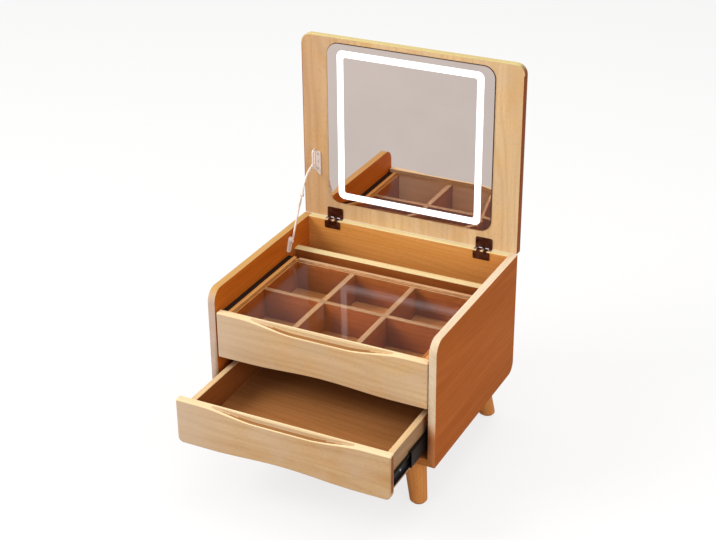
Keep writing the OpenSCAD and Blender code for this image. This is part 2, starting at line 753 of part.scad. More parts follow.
module drawer_front() color(light_wood) out() difference() {
    translate([0, 0, drawer_front_z]) difference() {
        along_y(0, front_t) front_face(drawer_front_h, drawer_front_r);
        scoop(drawer_front_h);
    }
    drawer_base_space();
    drawer_dowels_at(bore_clear);
}
module drawer_side() difference() {
    block([drawer_in_half, front_t, drawer_z0], [box_half, drawer_y1, drawer_z1]);
    drawer_base_space();
    drawer_dowels_at(bore_clear);
    inner_screws(drawer_inner_screws, bore_clear);
}
module drawer_side_right() color(light_wood) out() drawer_side();
module drawer_side_left() color(light_wood) out() mirror([1, 0, 0]) drawer_side();
module drawer_back() color(light_wood) out() difference() {
    block([-drawer_in_half, drawer_in_y1, drawer_z0], [drawer_in_half, drawer_y1, drawer_z1]);
    drawer_base_space();
    drawer_dowels_at(bore_clear);
}
module drawer_base() color(inner_wood) out() drawer_base_space(-fit);
module drawer_slide_inner_right() color(black_steel) out()
    inner_member(drawer_slide_y1, drawer_slide_z, drawer_inner_screws);
module drawer_slide_inner_left() color(black_steel) out() mirror([1, 0, 0])
    inner_member(drawer_slide_y1, drawer_slide_z, drawer_inner_screws);
module drawer_dowels() color(light_wood) out() drawer_dowels_at();
module drawer_slide_screws() color(zinc) out() inner_screws(drawer_inner_screws);

// ---- lid, drawn open ----

// A rounded plate centred on x = 0, standing on z, between two values of y
module plate(half, z, h, r, y0, y1) along_y(y0, y1) translate([-half, z]) rounded(2 * half, h, r);
module ring(half, z, h, r, w, y0, y1) difference() {
    plate(half, z, h, [r, r, r, r], y0, y1);
    plate(half - w, z + w, h - 2 * w, [r - 8, r - 8, r - 8, r - 8], y0 - 1, y1 + 1);
}
all_mirror_r = [mirror_r, mirror_r, mirror_r, mirror_r];
recess_r = mirror_r - mirror_ledge;

module lid_board() color(light_wood) difference() {
    plate(half_w, lid_z0, lid_h, [lid_hinge_r, lid_hinge_r, lid_r, lid_r], lid_y0, lid_y0 + board);
    plate(mirror_half + mirror_gap, mirror_z0 - mirror_gap, mirror_h + 2 * mirror_gap, all_mirror_r,
        lid_y0 - 1, mirror_y1);
    plate(mirror_half - mirror_ledge, mirror_z0 + mirror_ledge, mirror_h - 2 * mirror_ledge,
        [recess_r, recess_r, recess_r, recess_r], lid_y0 - 1, recess_y1);
    hinge_screws_lid_at(bore_clear);
    stay_screws_at(bore_clear, false);
}
module mirror_glass() color("#B9C4CC") difference() {
    plate(mirror_half, mirror_z0, mirror_h, all_mirror_r, mirror_y0, mirror_y1);
    difference() {
        plate(band_half + fit, band_z0 - fit, band_h + 2 * fit,
            [band_r, band_r, band_r, band_r], mirror_y0 - 1, mirror_y0 + band_t);
        plate(band_half - band_w - fit, band_z0 + band_w + fit, band_h - 2 * band_w - 2 * fit,
            [band_r - 8, band_r - 8, band_r - 8, band_r - 8], mirror_y0 - 2, mirror_y0 + band_t + 1);
    }
}
module frosted_band() color("#FFFFFF")
    ring(band_half, band_z0, band_h, band_r, band_w, mirror_y0, mirror_y0 + band_t);
module led_strip() color("#F4F1E4")
    ring(band_half - 2, band_z0 + 2, band_h - 4, band_r, band_w - 4, recess_y1 - 1.5, recess_y1);
module battery_pack() color("#3A4F8C")
    translate([-battery_len / 2, recess_y1 - battery_t, mirror_z0 + mirror_h / 2])
        cube([battery_len, battery_t, battery_h]);

// ---- hinges ----

// Start of knuckle i of a hinge, from the hinge's own left end
function knuckle_x(i) = -hinge_w / 2 + i * (knuckle_w + knuckle_gap);
module knuckle(i) rod_x([knuckle_x(i), axis_y, axis_z], knuckle_r, knuckle_w);
module pin_bore() rod_x([-hinge_w, axis_y, axis_z], hinge_pin_r + pin_clear, 2 * hinge_w);
module hinge_pair() for (x = [-hinge_x, hinge_x]) translate([x, 0, 0]) children();

// Leaf on the lid: three knuckles with fingers that run up to one plate
module lid_leaf_shape() difference() {
    union() {
        for (i = [0, 2, 4]) {
            knuckle(i);
            block([knuckle_x(i), lid_y0 - leaf_t, axis_z],
                [knuckle_x(i) + knuckle_w, lid_y0, axis_z + lid_finger]);
        }
        block([-hinge_w / 2, lid_y0 - leaf_t, axis_z + lid_finger - 0.5],
            [hinge_w / 2, lid_y0, axis_z + lid_leaf]);
    }
    pin_bore();
    for (x = [-screw_spread, screw_spread]) lid_screw(x, bore_clear);
}
// Leaf on the case: two knuckles with fingers over the panel's edge
module case_leaf_shape() difference() {
    union() {
        for (i = [1, 3]) {
            knuckle(i);
            block([knuckle_x(i), back_y - leaf_t, case_h],
                [knuckle_x(i) + knuckle_w, axis_y - 1.5, case_h + leaf_t]);
            block([knuckle_x(i), back_y - leaf_t, case_h - 3],
                [knuckle_x(i) + knuckle_w, back_y, case_h + leaf_t]);
        }
        block([-hinge_w / 2, back_y - leaf_t, case_h - case_leaf], [hinge_w / 2, back_y, case_h - 2]);
    }
    pin_bore();
    for (x = [-screw_spread, screw_spread]) case_screw(x, bore_clear);
}
module lid_screw(x, c = 0)
    translate([x, lid_y0 - leaf_t, axis_z + lid_screw_up]) rotate([90, 0, 0]) wood_screw(c);
module case_screw(x, c = 0)
    translate([x, back_y - leaf_t, case_h - case_screw_down]) rotate([90, 0, 0]) wood_screw(c);
module hinge_screws_lid_at(c = 0) hinge_pair()
    for (x = [-screw_spread, screw_spread]) lid_screw(x, c);
module hinge_screws_case_at(c = 0) hinge_pair()
    for (x = [-screw_spread, screw_spread]) case_screw(x, c);

module hinge_leaves_lid() color(bronze) hinge_pair() lid_leaf_shape();
module hinge_leaves_case() color(bronze) hinge_pair() case_leaf_shape();
module hinge_pins() color("#8A7A68") hinge_pair()
    rod_x([-hinge_w / 2, axis_y, axis_z], hinge_pin_r, hinge_w);

// ---- lid stay, drawn open ----

module stay_screws_at(c = 0, on_case = true) {
    if (on_case) for (p = base_screws)
        translate([-in_w + plate_t, base_pt[0] + p[0], base_pt[1] + p[1]])
            rotate([0, 90, 0]) wood_screw(c);
    else for (p = flange_screws)
        translate([ear_x + arm_t + p[0], lid_y0 - plate_t, pin_pt[1] + p[1]])
            rotate([90, 0, 0]) wood_screw(c);
}

// Plate on the side panel with the boss and pin that carry the lower arm
module stay_base() color(cream) {
    difference() {
        union() {
            along_x(-in_w, -in_w + plate_t) translate(base_pt) rotate(-base_lean)
                translate([-base_w / 2, -base_down])
                rounded(base_w, base_down + base_up, [base_r, base_r, base_r, base_r]);
            rod_x([-in_w, base_pt[0], base_pt[1]], boss_r, lower_x - arm_gap + in_w);
        }
        stay_screws_at(bore_clear, true);
    }
    rod_x([-in_w, base_pt[0], base_pt[1]], stay_pin_r, lower_x + arm_t + in_w);
}
// Straight lower arm with the elbow's knuckle and its pin
module stay_lower_arm() color(cream) {
    difference() {
        translate([lower_x, 0, 0]) rotate([90, 0, 90]) linear_extrude(arm_t)
            translate(base_pt) rotate(lower_turn) {
            circle(eye_r);
            translate([0, -arm_half]) square([stay_lower, 2 * arm_half]);
            translate([stay_lower - 22, -eye_r]) square([22, 2 * eye_r]);
            translate([stay_lower, 0]) circle(eye_r);
        }
        rod_x([lower_x - 1, base_pt[0], base_pt[1]], stay_pin_r + pin_clear, arm_t + 2);
    }
    rod_x([lower_x, elbow_pt[0], elbow_pt[1]], stay_pin_r, 2 * arm_t + arm_gap);
}
// Curved upper arm with the pin that runs in the bracket's slot
module arm_curve() intersection() {
    translate([stay_upper / 2, arm_bulge - arm_curve_r]) difference() {
        circle(arm_curve_r + arm_half, $fn = 128);
        circle(arm_curve_r - arm_half, $fn = 128);
    }
    translate([0, -arm_half]) square([stay_upper, arm_bulge + 3 * arm_half]);
}
module stay_upper_arm() color(cream) {
    difference() {
        translate([upper_x, 0, 0]) rotate([90, 0, 90]) linear_extrude(arm_t)
            translate(elbow_pt) rotate(upper_turn) {
            circle(eye_r);
            arm_curve();
            translate([stay_upper, 0]) circle(eye_r - 0.4);
        }
        rod_x([upper_x - 1, elbow_pt[0], elbow_pt[1]], stay_pin_r + pin_clear, arm_t + 2);
    }
    rod_x([upper_x, pin_pt[0], pin_pt[1]], stay_pin_r, 2 * arm_t + arm_gap);
}
// Lid bracket: a screwed flange and an ear with the slot for the upper pin
ear_half = slot_half + 2.6;
module ear_drawing() difference() {
    union() {
        translate([lid_y0 - slot_proud, pin_pt[1] - 2]) circle(ear_half);
        translate([lid_y0 - slot_proud, pin_pt[1] + slot_travel + 1]) circle(ear_half);
        translate([lid_y0 - slot_proud - ear_half, pin_pt[1] - 2])
            square([2 * ear_half, slot_travel + 3]);
        translate([lid_y0 - slot_proud, pin_pt[1] - 2]) square([slot_proud, slot_travel + 3]);
    }
    translate([lid_y0 - slot_proud, pin_pt[1] - 0.6]) circle(slot_half);
    translate([lid_y0 - slot_proud, pin_pt[1] + slot_travel + 0.6]) circle(slot_half);
    translate([lid_y0 - slot_proud - slot_half, pin_pt[1] - 0.6])
        square([2 * slot_half, slot_travel + 1.2]);
}
// The flange is round at its upper end and narrows to a tip at its lower end;
// the taper's slanting edge meets the tip's circle at a tangent
flange_w = arm_t + flange_out;
tip_pt = [flange_w - flange_tip_r, flange_tip_r - flange_down];
tip_reach = norm(tip_pt + [0, flange_taper]);
taper_turn = atan2(tip_pt[1] + flange_taper, tip_pt[0]) - asin(flange_tip_r / tip_reach);
taper_len = sqrt(tip_reach * tip_reach - flange_tip_r * flange_tip_r);
module flange_drawing() {
    translate([0, -flange_taper]) rounded(flange_w, flange_up + flange_taper, [0, 0, flange_r, 2]);
    translate(tip_pt) circle(flange_tip_r);
    polygon([[0, -flange_taper],
        [taper_len * cos(taper_turn), taper_len * sin(taper_turn) - flange_taper],
        tip_pt, [flange_w, tip_pt[1]], [flange_w, -flange_taper]]);
}
module stay_lid_bracket() color(cream) difference() {
    union() {
        along_x(ear_x, ear_x + arm_t) ear_drawing();
        along_y(lid_y0 - plate_t, lid_y0) translate([ear_x, pin_pt[1]]) flange_drawing();
    }
    stay_screws_at(bore_clear, false);
}
// The small wood screws in the case, and those in the lid
module wood_screws_case() {
    color(bronze) hinge_screws_case_at();
    color(zinc) stay_screws_at(0, true);
}
module wood_screws_lid() {
    color(bronze) hinge_screws_lid_at();
    color(zinc) stay_screws_at(0, false);
}

place() side_left();
place() side_right();
place() bottom_board();
place() back_panel();
place() shelf_rail();
place() shelf_floor();
place() leg_front_left();
place() leg_front_right();
place() leg_rear_left();
place() leg_rear_right();
place() leg_bolts();
place() foot_pads();
place() case_dowels();
place() tray_slide_outer_left();
place() tray_slide_outer_right();
place() drawer_slide_outer_left();
place() drawer_slide_outer_right();
place() slide_screws_case();
place() tray_slide_middle_left();
place() tray_slide_middle_right();
place() tray_slide_balls();
place() drawer_slide_middle_left();
place() drawer_slide_middle_right();
place() drawer_slide_balls();
place() tray_front();
place() tray_side_left();
place() tray_side_right();
place() tray_back();
place() tray_base();
place() tray_divider_left();
place() tray_divider_right();
place() tray_cross_divider();
place() tray_slide_inner_left();
place() tray_slide_inner_right();
place() tray_dowels();
place() tray_slide_screws();
place() tray_glass();
place() drawer_front();
place() drawer_side_left();
place() drawer_side_right();
place() drawer_back();
place() drawer_base();
place() drawer_slide_inner_left();
place() drawer_slide_inner_right();
place() drawer_dowels();
place() drawer_slide_screws();
place() lid_board();
place() mirror_glass();
place() frosted_band();
place() led_strip();
place() battery_pack();
place() hinge_leaves_lid();
place() hinge_leaves_case();
place() hinge_pins();
place() stay_base();
place() stay_lower_arm();
place() stay_upper_arm();
place() stay_lid_bracket();
place() wood_screws_case();
place() wood_screws_lid();
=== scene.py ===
from math import acos, atan2, cos, hypot, pi, radians, sin, sqrt, tan

import bmesh
import bpy
from mathutils import Matrix, Vector


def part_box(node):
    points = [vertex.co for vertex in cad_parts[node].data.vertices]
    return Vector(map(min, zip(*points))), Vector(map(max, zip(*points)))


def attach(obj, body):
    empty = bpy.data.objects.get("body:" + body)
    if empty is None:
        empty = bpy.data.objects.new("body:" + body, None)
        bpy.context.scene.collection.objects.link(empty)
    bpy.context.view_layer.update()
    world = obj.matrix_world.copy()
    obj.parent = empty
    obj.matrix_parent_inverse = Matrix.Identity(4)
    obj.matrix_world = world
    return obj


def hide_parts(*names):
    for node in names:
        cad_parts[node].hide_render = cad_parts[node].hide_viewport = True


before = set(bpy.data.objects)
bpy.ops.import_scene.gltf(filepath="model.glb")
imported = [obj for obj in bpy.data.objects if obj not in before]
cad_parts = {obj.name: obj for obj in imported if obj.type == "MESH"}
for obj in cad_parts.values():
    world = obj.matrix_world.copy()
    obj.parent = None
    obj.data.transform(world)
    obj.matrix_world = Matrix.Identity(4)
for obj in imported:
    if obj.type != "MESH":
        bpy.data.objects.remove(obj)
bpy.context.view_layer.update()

# ---- Side panels --------------------------------------------------------------
# Two solid beech boards, rounded at the upper front and the lower rear corner,
# mitred to the bottom board, sanded and clear lacquered. The long edges are eased
# by hand and stay paler than the faces, partly a painted highlight. The faces,
# whose grain runs from front to back, are painted deep orange: painted shade.

MM = 0.001
CASE_W, CASE_D, CASE_H = 480.0, 398.0, 266.6
BOARD = 15.0
HALF_W = CASE_W / 2
IN_W = HALF_W - BOARD
FRONT_R, REAR_R = 27.0, 22.0
SIDES = {"left": -1, "right": 1}
case_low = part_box("side_right")[0]


def put(x, y, z):
    """A point of the case's own axes (x from the middle, y from its front edge, z
    from its underside, in millimetres) in the frame's metres."""
    return Vector((x * MM, y * MM + case_low.y, z * MM + case_low.z))


def linear(code):
    """An sRGB hex colour as the linear colour that a shader takes."""
    parts = [int(code[i : i + 2], 16) / 255 for i in (1, 3, 5)]
    return tuple(c / 12.92 if c <= 0.04045 else ((c + 0.055) / 1.055) ** 2.4 for c in parts) + (1.0,)


def feed(node, inputs):
    """Sets a node's inputs, each to a constant or to a link from an output or from
    a node, which stands for its first live output. Mix has its colours at 6 and 7."""
    for key, value in inputs.items():
        if isinstance(value, bpy.types.Node):
            value = next(output for output in value.outputs if output.enabled)
        if isinstance(value, bpy.types.NodeSocket):
            node.id_data.links.new(value, node.inputs[key])
        else:
            node.inputs[key].default_value = value


def add(tree, kind, inputs=None, **settings):
    """Adds a shader node with its settings, its links and its constants."""
    new = tree.nodes.new("ShaderNode" + kind)
    for name, value in settings.items():
        setattr(new, name, value)
    feed(new, inputs or {})
    return new


def start_material(name):
    """A new material with its node tree and its Principled shader."""
    made = bpy.data.materials.new(name)
    made.use_nodes = True
    return made, made.node_tree, made.node_tree.nodes["Principled BSDF"]


def beech(name, pale, mid, deep, along=0, contrast=0.7, ring_mm=9.0, rough=0.46, film=0.04,
          silk=0.0, painted_left_light=0.0):
    """Beech, planed, sanded and clear lacquered. Growth rings 9 mm apart where the
    board is cut flat, fibres drawn 1 mm wide, and the short dark flecks that tell
    beech from other woods, drawn 6 mm long so that they show. along is the axis
    of the grain: 0, 1 or 2. silk is how far the cloudy figure turns it pale, and
    the last argument how far a painted cool light from the left turns its left end pale."""
    made, tree, shader = start_material(name)
    place = add(tree, "TexCoord").outputs["Object"]

    # noises drawn out along the grain: turns a metre across and along it, detail, roughness
    figures = {
        "wander": (5.0, 2.2, 1.5, 0.5),  # fibres stray by a few millimetres over a board
        "bend": (22.0, 2.6, 1.0, 0.5),  # growth rings bend slowly
        "bands": (34.0, 2.4, 2.5, 0.55),  # broad bands of paler and deeper wood
        "fibre": (900.0, 16.0, 3.0, 0.6),
        "fleck": (1000.0, 160.0, 0.0, 0.5),
    }
    noise = {}
    for figure, (sideways, lengthways, detail, coarse) in figures.items():
        scale = [sideways] * 3
        scale[along] = lengthways
        drawn = add(tree, "Mapping", {"Vector": place, "Scale": scale})
        drawn = {"Vector": drawn, "Scale": 1.0, "Detail": detail, "Roughness": coarse}
        noise[figure] = add(tree, "TexNoise", drawn)
        if figure == "wander":
            stray = {0: noise[figure].outputs["Color"], 1: (0.012, 0.012, 0.012), 2: place}
            place = add(tree, "VectorMath", stray, operation="MULTIPLY_ADD")

    # growth rings: slanting planes through the log
    slant = [0.62, 0.78]
    slant.insert(along, 0.03)
    turns = 2 * pi / (ring_mm * MM)
    rings = add(tree, "VectorMath", {0: place, 1: [s * turns for s in slant]}, operation="DOT_PRODUCT")
    rings = add(tree, "Math", {0: noise["bend"], 1: 26.0, 2: rings}, operation="MULTIPLY_ADD")
    rings = add(tree, "Math", {0: rings}, operation="SINE")
    rings = add(tree, "MapRange", {"Value": rings, 1: -0.2, 2: 1.0, 3: 0.0, 4: 0.26 * contrast})
    bands = add(tree, "MapRange", {"Value": noise["bands"], 1: 0.3, 2: 0.7, 3: 0.0, 4: 1.0})
    fleck = add(tree, "MapRange", {"Value": noise["fleck"], 1: 0.64, 2: 0.72, 3: 0.0, 4: 0.45 * contrast})
    streak = add(tree, "MapRange", {"Value": noise["fibre"], 1: 0.25, 2: 0.75, 3: 0.9, 4: 1.08})

    wood = add(tree, "Mix", {0: bands, 6: linear(pale), 7: linear(mid)}, data_type="RGBA")
    for mark in (rings, fleck):
        wood = add(tree, "Mix", {0: mark, 6: wood, 7: linear(deep)}, data_type="RGBA")
    wood = add(tree, "Mix", {0: contrast, 6: wood, 7: streak}, data_type="RGBA", blend_type="MULTIPLY")
    if silk:
        # cloudy figure: patches about 80 mm wide where the fibres rise and look paler
        cloud = add(tree, "TexNoise", {"Vector": place, "Scale": 12.0, "Detail": 2.0, "Distortion": 0.7})
        cloud = add(tree, "MapRange", {"Value": cloud, 1: 0.36, 2: 0.68, 3: 0.0, 4: silk})
        # painted light: towards its left end the board is painted paler and cooler, as if lit from the left
        end = add(tree, "SeparateXYZ", {"Vector": place})
        end = add(tree, "MapRange", {"Value": end, 1: -0.25, 2: -0.06, 3: painted_left_light, 4: 0.0})
        cloud = add(tree, "Math", {0: cloud, 1: end}, operation="MAXIMUM")
        wood = add(tree, "Mix", {0: cloud, 6: wood, 7: linear("#CDB8A2")}, data_type="RGBA")

    # the lacquer follows the fibres: a satin film with the grain just open
    gloss = {"Value": noise["fibre"], 1: 0.2, 2: 0.8, 3: rough - 0.06, 4: rough + 0.08}
    pores = add(tree, "Math", {0: fleck, 1: -0.6, 2: noise["fibre"]}, operation="MULTIPLY_ADD")
    relief = add(tree, "Bump", {"Strength": 0.25, "Distance": 0.0002, "Height": pores})
    feed(shader, {"Base Color": wood, "Roughness": add(tree, "MapRange", gloss), "Normal": relief,
                  "IOR": 1.3, "Specular IOR Level": 0.16, "Coat Weight": film, "Coat Roughness": 0.25})
    return made


def rounded(corners, steps=8):
    """An outline from its corners (u, v, radius), with each corner rounded."""
    outline = []
    for i, (u, v, r) in enumerate(corners):
        if not r:
            outline.append((u, v))
            continue
        tip = Vector((u, v))
        back = (Vector(corners[i - 1][:2]) - tip).normalized()
        ahead = (Vector(corners[(i + 1) % len(corners)][:2]) - tip).normalized()
        half = back.angle(ahead) / 2
        centre = tip + (back + ahead).normalized() * r / sin(half)
        first, last = (tip + d * r / tan(half) - centre for d in (back, ahead))
        start = atan2(first.y, first.x)
        turn = (atan2(last.y, last.x) - start + pi) % (2 * pi) - pi
        for k in range(steps + 1):
            a = start + turn * k / steps
            outline.append((centre.x + r * cos(a), centre.y + r * sin(a)))
    return outline


def oblong(u0, u1, v0, v1, *radii, steps=8):
    """A rectangle's outline, with one radius for its corners, or four from (u0, v0)
    round to (u0, v1), or none."""
    radii = radii * 4 if len(radii) == 1 else radii or (0, 0, 0, 0)
    tips = ((u0, v0), (u1, v0), (u1, v1), (u0, v1))
    return rounded([(u, v, r) for (u, v), r in zip(tips, radii)], steps)


def make_piece(name, bm, finishes, body, replaced, slot, ease=0.0, crisp=None, turns=3):
    """Turns a bmesh into a piece: its edges eased by a given width in millimetres
    (but for those that crisp() keeps), its finishes, its body and node. slot is not used."""
    bmesh.ops.recalc_face_normals(bm, faces=bm.faces)
    weight = bm.edges.layers.float.new("bevel_weight_edge")
    for edge in bm.edges:
        angle = edge.calc_face_angle(0)
        if ease and angle > radians(30) and not (crisp and crisp(edge)):
            edge[weight] = 1.0
        elif angle > radians(45):
            edge.smooth = False
    for face in bm.faces:
        face.smooth = True
    mesh = bpy.data.meshes.new(name)
    bm.to_mesh(mesh)
    bm.free()
    for finish in finishes:
        mesh.materials.append(finish)
    piece = bpy.data.objects.new(name, mesh)
    bpy.context.scene.collection.objects.link(piece)
    if ease:
        eased = piece.modifiers.new("eased edges", "BEVEL")
        eased.limit_method = "WEIGHT"
        eased.width = ease * MM
        eased.segments = turns
        # the bevel takes the last finish, for the boards their paler edge finish: sanded edges, and a painted
        # highlight where they catch the light
        eased.material = len(finishes) - 1
    even = piece.modifiers.new("flat faces stay flat", "WEIGHTED_NORMAL")
    even.keep_sharp = True
    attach(piece, body)
    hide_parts(replaced)


def wrap(bm, points, finish):
    """The convex solid round some points; finish(normal) gives a face its finish."""
    verts = [bm.verts.new(put(*p)) for p in points]
    made = bmesh.ops.convex_hull(bm, input=verts)
    spare = {g for g in made["geom_interior"] + made["geom_unused"] if isinstance(g, bmesh.types.BMVert)}
    bmesh.ops.delete(bm, geom=list(spare), context="VERTS")
    bmesh.ops.dissolve_limit(bm, angle_limit=radians(0.5), verts=bm.verts, edges=bm.edges)
    bm.normal_update()
    for face in bm.faces:
        face.material_index = finish(face.normal)


def paint_light_and_shade(wood, by, axis, start, end, tone):
    """Deepens a finish by a tone, from start to end of its place ("Object", in
    metres) or of the way that its surface faces ("Normal"): painted light and shade."""
    tree = wood.node_tree
    shader = tree.nodes["Principled BSDF"]
    value = add(tree, "SeparateXYZ", {"Vector": add(tree, "TexCoord").outputs[by]}).outputs[axis]
    if by == "Normal":
        value = add(tree, "Math", {0: value}, operation="ABSOLUTE")
    far = add(tree, "MapRange", {"Value": value, 1: start, 2: end, 3: 0.0, 4: 1.0})
    plain = shader.inputs["Base Color"].links[0].from_socket
    mixed = {0: far, 6: plain, 7: linear(tone)}
    feed(shader, {"Base Color": add(tree, "Mix", mixed, data_type="RGBA", blend_type="MULTIPLY")})


# painted shade: the sides' outer and inner faces are the fronts' beech, painted deeper and more orange
side_face = beech("lacquered beech, side faces", "#C06A2A", "#B05C1A", "#90450E", along=1)
# wiped thinner than on the fronts, the lacquer on the sides shines less
feed(side_face.node_tree.nodes["Principled BSDF"], {"Specular IOR Level": 0.05})
side_inner = beech("lacquered beech, sides' inner faces", "#CA6E26", "#B85E14", "#96460A", along=1)
# painted light and shade: the left side's edges are painted pinkish grey as a cool shade, the right side's
# cream as lit
side_edge = {
    "left": beech("lacquered beech, left side's edges", "#D0B9AB", "#C5AB95", "#B08B6A", 1, 0.5),
    "right": beech("lacquered beech, right side's edges", "#E7D4BA", "#DAC4A3", "#C3A074", 1, 0.5),
}
# painted light: the left side's upward edges are turned golden, as where the top is lit
paint_light_and_shade(side_edge["left"], "Normal", "Z", 0.2, 0.9, "#FEE29B")
# painted shade: the right side's front edge turns orange-brown towards its foot, beside the drawer
paint_light_and_shade(side_edge["right"], "Object", "Z", 0.205, 0.165, "#F6B083")


def on_mitre(edge):
    """True for an edge that lies in the mitre, which is glued tight and not eased."""
    return all(abs(abs(v.co.x) / MM + (v.co.z - case_low.z) / MM - HALF_W) < 0.02 for v in edge.verts)


case_outline = oblong(0, CASE_D, 0, CASE_H, 0, REAR_R, 0, FRONT_R, steps=16)
# where the rear corner's round reaches the bottom board's upper face
REAR_Y = CASE_D - REAR_R + sqrt(REAR_R**2 - (REAR_R - BOARD) ** 2)
for side, sign in SIDES.items():
    bm = bmesh.new()
    points = []
    for y, z in case_outline:
        points += [(sign * HALF_W, y, z), (sign * (IN_W + max(0.0, BOARD - z)), y, z)]
    points += [(sign * IN_W, y, BOARD) for y in (REAR_Y, 0)]
    wrap(bm, points, lambda normal: 2 if abs(normal.x) <= 0.9 else int(normal.x * sign < 0))
    finishes = [side_face, side_inner, side_edge[side]]
    make_piece(f"side_panel_{side}", bm, finishes, "case", f"side_{side}", "case_wood", 1.8, on_mitre, 4)

# ---- Bottom board -------------------------------------------------------------
# One beech board between the two sides, mitred to them along both ends so that
# the grain seems to turn the corner. Its rear edge is rounded with the sides.

board_face = beech("lacquered beech, bottom board", "#B9763C", "#AC682E", "#8F501E")
bm = bmesh.new()
points = [(s * (HALF_W - z), y, z) for y, z in case_outline if z <= BOARD for s in (-1, 1)]
points += [(s * IN_W, y, BOARD) for y in (0, REAR_Y) for s in (-1, 1)]
wrap(bm, points, lambda normal: 0)
make_piece("bottom_board_solid", bm, [board_face], "case", "bottom_board", "case_wood", 1.6, on_mitre)

# ---- Back panel ---------------------------------------------------------------
# A beech board doweled between the sides, notched at the top for the two hinge
# barrels. Its inner face is what shows behind the shelf.

BACK_Y = CASE_D - BOARD
HINGE_X, HINGE_W = 168.0, 36.0
KNUCKLE_R, NOTCH_R = 5.2, 5.8
AXIS_Y, AXIS_Z = CASE_D - 6.0, CASE_H - 3.6
# how a section's (u, v) and the place w along its axis make a point; "loose" is
# for a piece that is made about its own z axis and moved later
AXES = {"x": lambda u, v, w: put(w, u, v), "y": lambda u, v, w: put(u, w, v), "z": put,
        "loose": lambda u, v, w: Vector((u, v, w)) * MM}


def ring(bm, outline, axis, w):
    """The verts of an outline that lies across an axis, at a place along it."""
    return [bm.verts.new(AXES[axis](u, v, w)) for u, v in outline]


def skin(bm, rings, finish=0, ends=0):
    """Quads between rings of verts of the same count, and a face over each end,
    unless ends, its finish, is None."""
    for step, (low, high) in enumerate(zip(rings, rings[1:])):
        for i in range(len(low)):
            j = (i + 1) % len(low)
            quad = bm.faces.new([low[i], low[j], high[j], high[i]])
            quad.material_index = finish(i, step) if callable(finish) else finish
    if ends is not None:
        for end in (rings[0], rings[-1]):
            bm.faces.new(end).material_index = ends


def prism(bm, outline, axis, low, high, rim=0):
    """An outline drawn across an axis, between two places along it."""
    skin(bm, [ring(bm, outline, axis, w) for w in (low, high)], rim)


def cut(bm, cutter):
    """Cuts one bmesh's solid out of another's."""
    made = []
    for each in (bm, cutter):
        mesh = bpy.data.meshes.new("cut")
        each.to_mesh(mesh)
        each.free()
        made.append(bpy.data.objects.new("cut", mesh))
        bpy.context.scene.collection.objects.link(made[-1])
    tool = made[0].modifiers.new("cut", "BOOLEAN")
    tool.operation, tool.solver, tool.object = "DIFFERENCE", "EXACT", made[1]
    tree = bpy.context.evaluated_depsgraph_get()
    result = bmesh.new()
    result.from_mesh(made[0].evaluated_get(tree).to_mesh())
    for each in made:
        bpy.data.meshes.remove(each.data)
    bmesh.ops.dissolve_limit(result, angle_limit=radians(0.5), verts=result.verts, edges=result.edges)
    return result


def behind_lid(edge):
    """True for the rear edge that the open lid stands against, which is left crisp."""
    rear = put(0, CASE_D, 0).y
    return all(abs(v.co.y - rear) < 0.1 * MM for v in edge.verts)


panel_face = beech("lacquered beech, back panel", "#E2A058", "#D69046", "#B8722C")
panel_edge = beech("lacquered beech, back panel's edges", "#EBDCA9", "#DECB94", "#C7A569", contrast=0.5)
bm, notches = bmesh.new(), bmesh.new()
prism(bm, oblong(-IN_W, IN_W, BOARD, CASE_H), "y", BACK_Y, CASE_D, 1)
notch = oblong(AXIS_Y - NOTCH_R, CASE_D + 2, AXIS_Z - NOTCH_R, CASE_H + 2, 3, 0, 0, 0, steps=4)
for x in (-HINGE_X, HINGE_X):
    prism(notches, notch, "x", x - HINGE_W / 2 - 0.5, x + HINGE_W / 2 + 0.5, 1)
bm = cut(bm, notches)
make_piece("back_panel_solid", bm, [panel_face, panel_edge], "case", "back_panel", "inner_wood", 0.9,
           behind_lid)

# ---- Shelf --------------------------------------------------------------------
# A rail and a narrow floor doweled between the sides behind the tray. The rail's
# upper edge is eased and pale, partly a painted highlight, and its faces are
# painted deep brown: painted shade. The floor is a thinner board.

RAIL_Y0, RAIL_Y1, RAIL_Z0, RAIL_Z1 = 317.0, 335.0, 138.0, 220.0
SHELF_T = 12.0


def board(name, outline, axis, low, high, finishes, body, replaced, slot, ease=0.0, top=None, depth=1.0,
          outer=0):
    """A piece with one section from end to end. What looks up within depth of the
    height top has the last of its finishes, and what looks to outer along x, -1
    or 1, has the second."""
    bm = bmesh.new()
    prism(bm, outline, axis, low, high)
    bmesh.ops.recalc_face_normals(bm, faces=bm.faces)
    for face in bm.faces:
        middle = face.calc_center_median()
        # faces that look up near the top take the paler last finish: sanded edges and a painted highlight on
        # the lit tops
        if top and face.normal.z > 0.7 and abs(middle.z - put(0, 0, top).z) < depth * MM:
            face.material_index = len(finishes) - 1
        elif face.normal.x * outer > 0.9:
            face.material_index = 1
    make_piece(name, bm, finishes, body, replaced, slot, ease)


# painted shade: the rail's faces are painted deep brown below its pale top
rail_face = beech("lacquered beech, rail faces", "#A8602E", "#9A5424", "#7E3B13")
long_edge = beech("lacquered beech, long edges", "#ECDBAA", "#E3CB94", "#CAA968", contrast=0.5)
board("shelf_rail_board", oblong(RAIL_Y0, RAIL_Y1, RAIL_Z0, RAIL_Z1), "x", -IN_W, IN_W,
      [rail_face, long_edge], "case", "shelf_rail", "case_wood", 2.0, RAIL_Z1)
board("shelf_floor_board", oblong(RAIL_Y1, BACK_Y, RAIL_Z0, RAIL_Z0 + SHELF_T), "x", -IN_W, IN_W,
      [board_face], "case", "shelf_floor", "inner_wood", 0.5)

# ---- Legs ---------------------------------------------------------------------
# Four beech legs turned to a taper and set at a slant, each cut level at the top
# and screwed up to the case on a hanger bolt. The foot is rounded over and stands
# on a disc of brown wool felt.

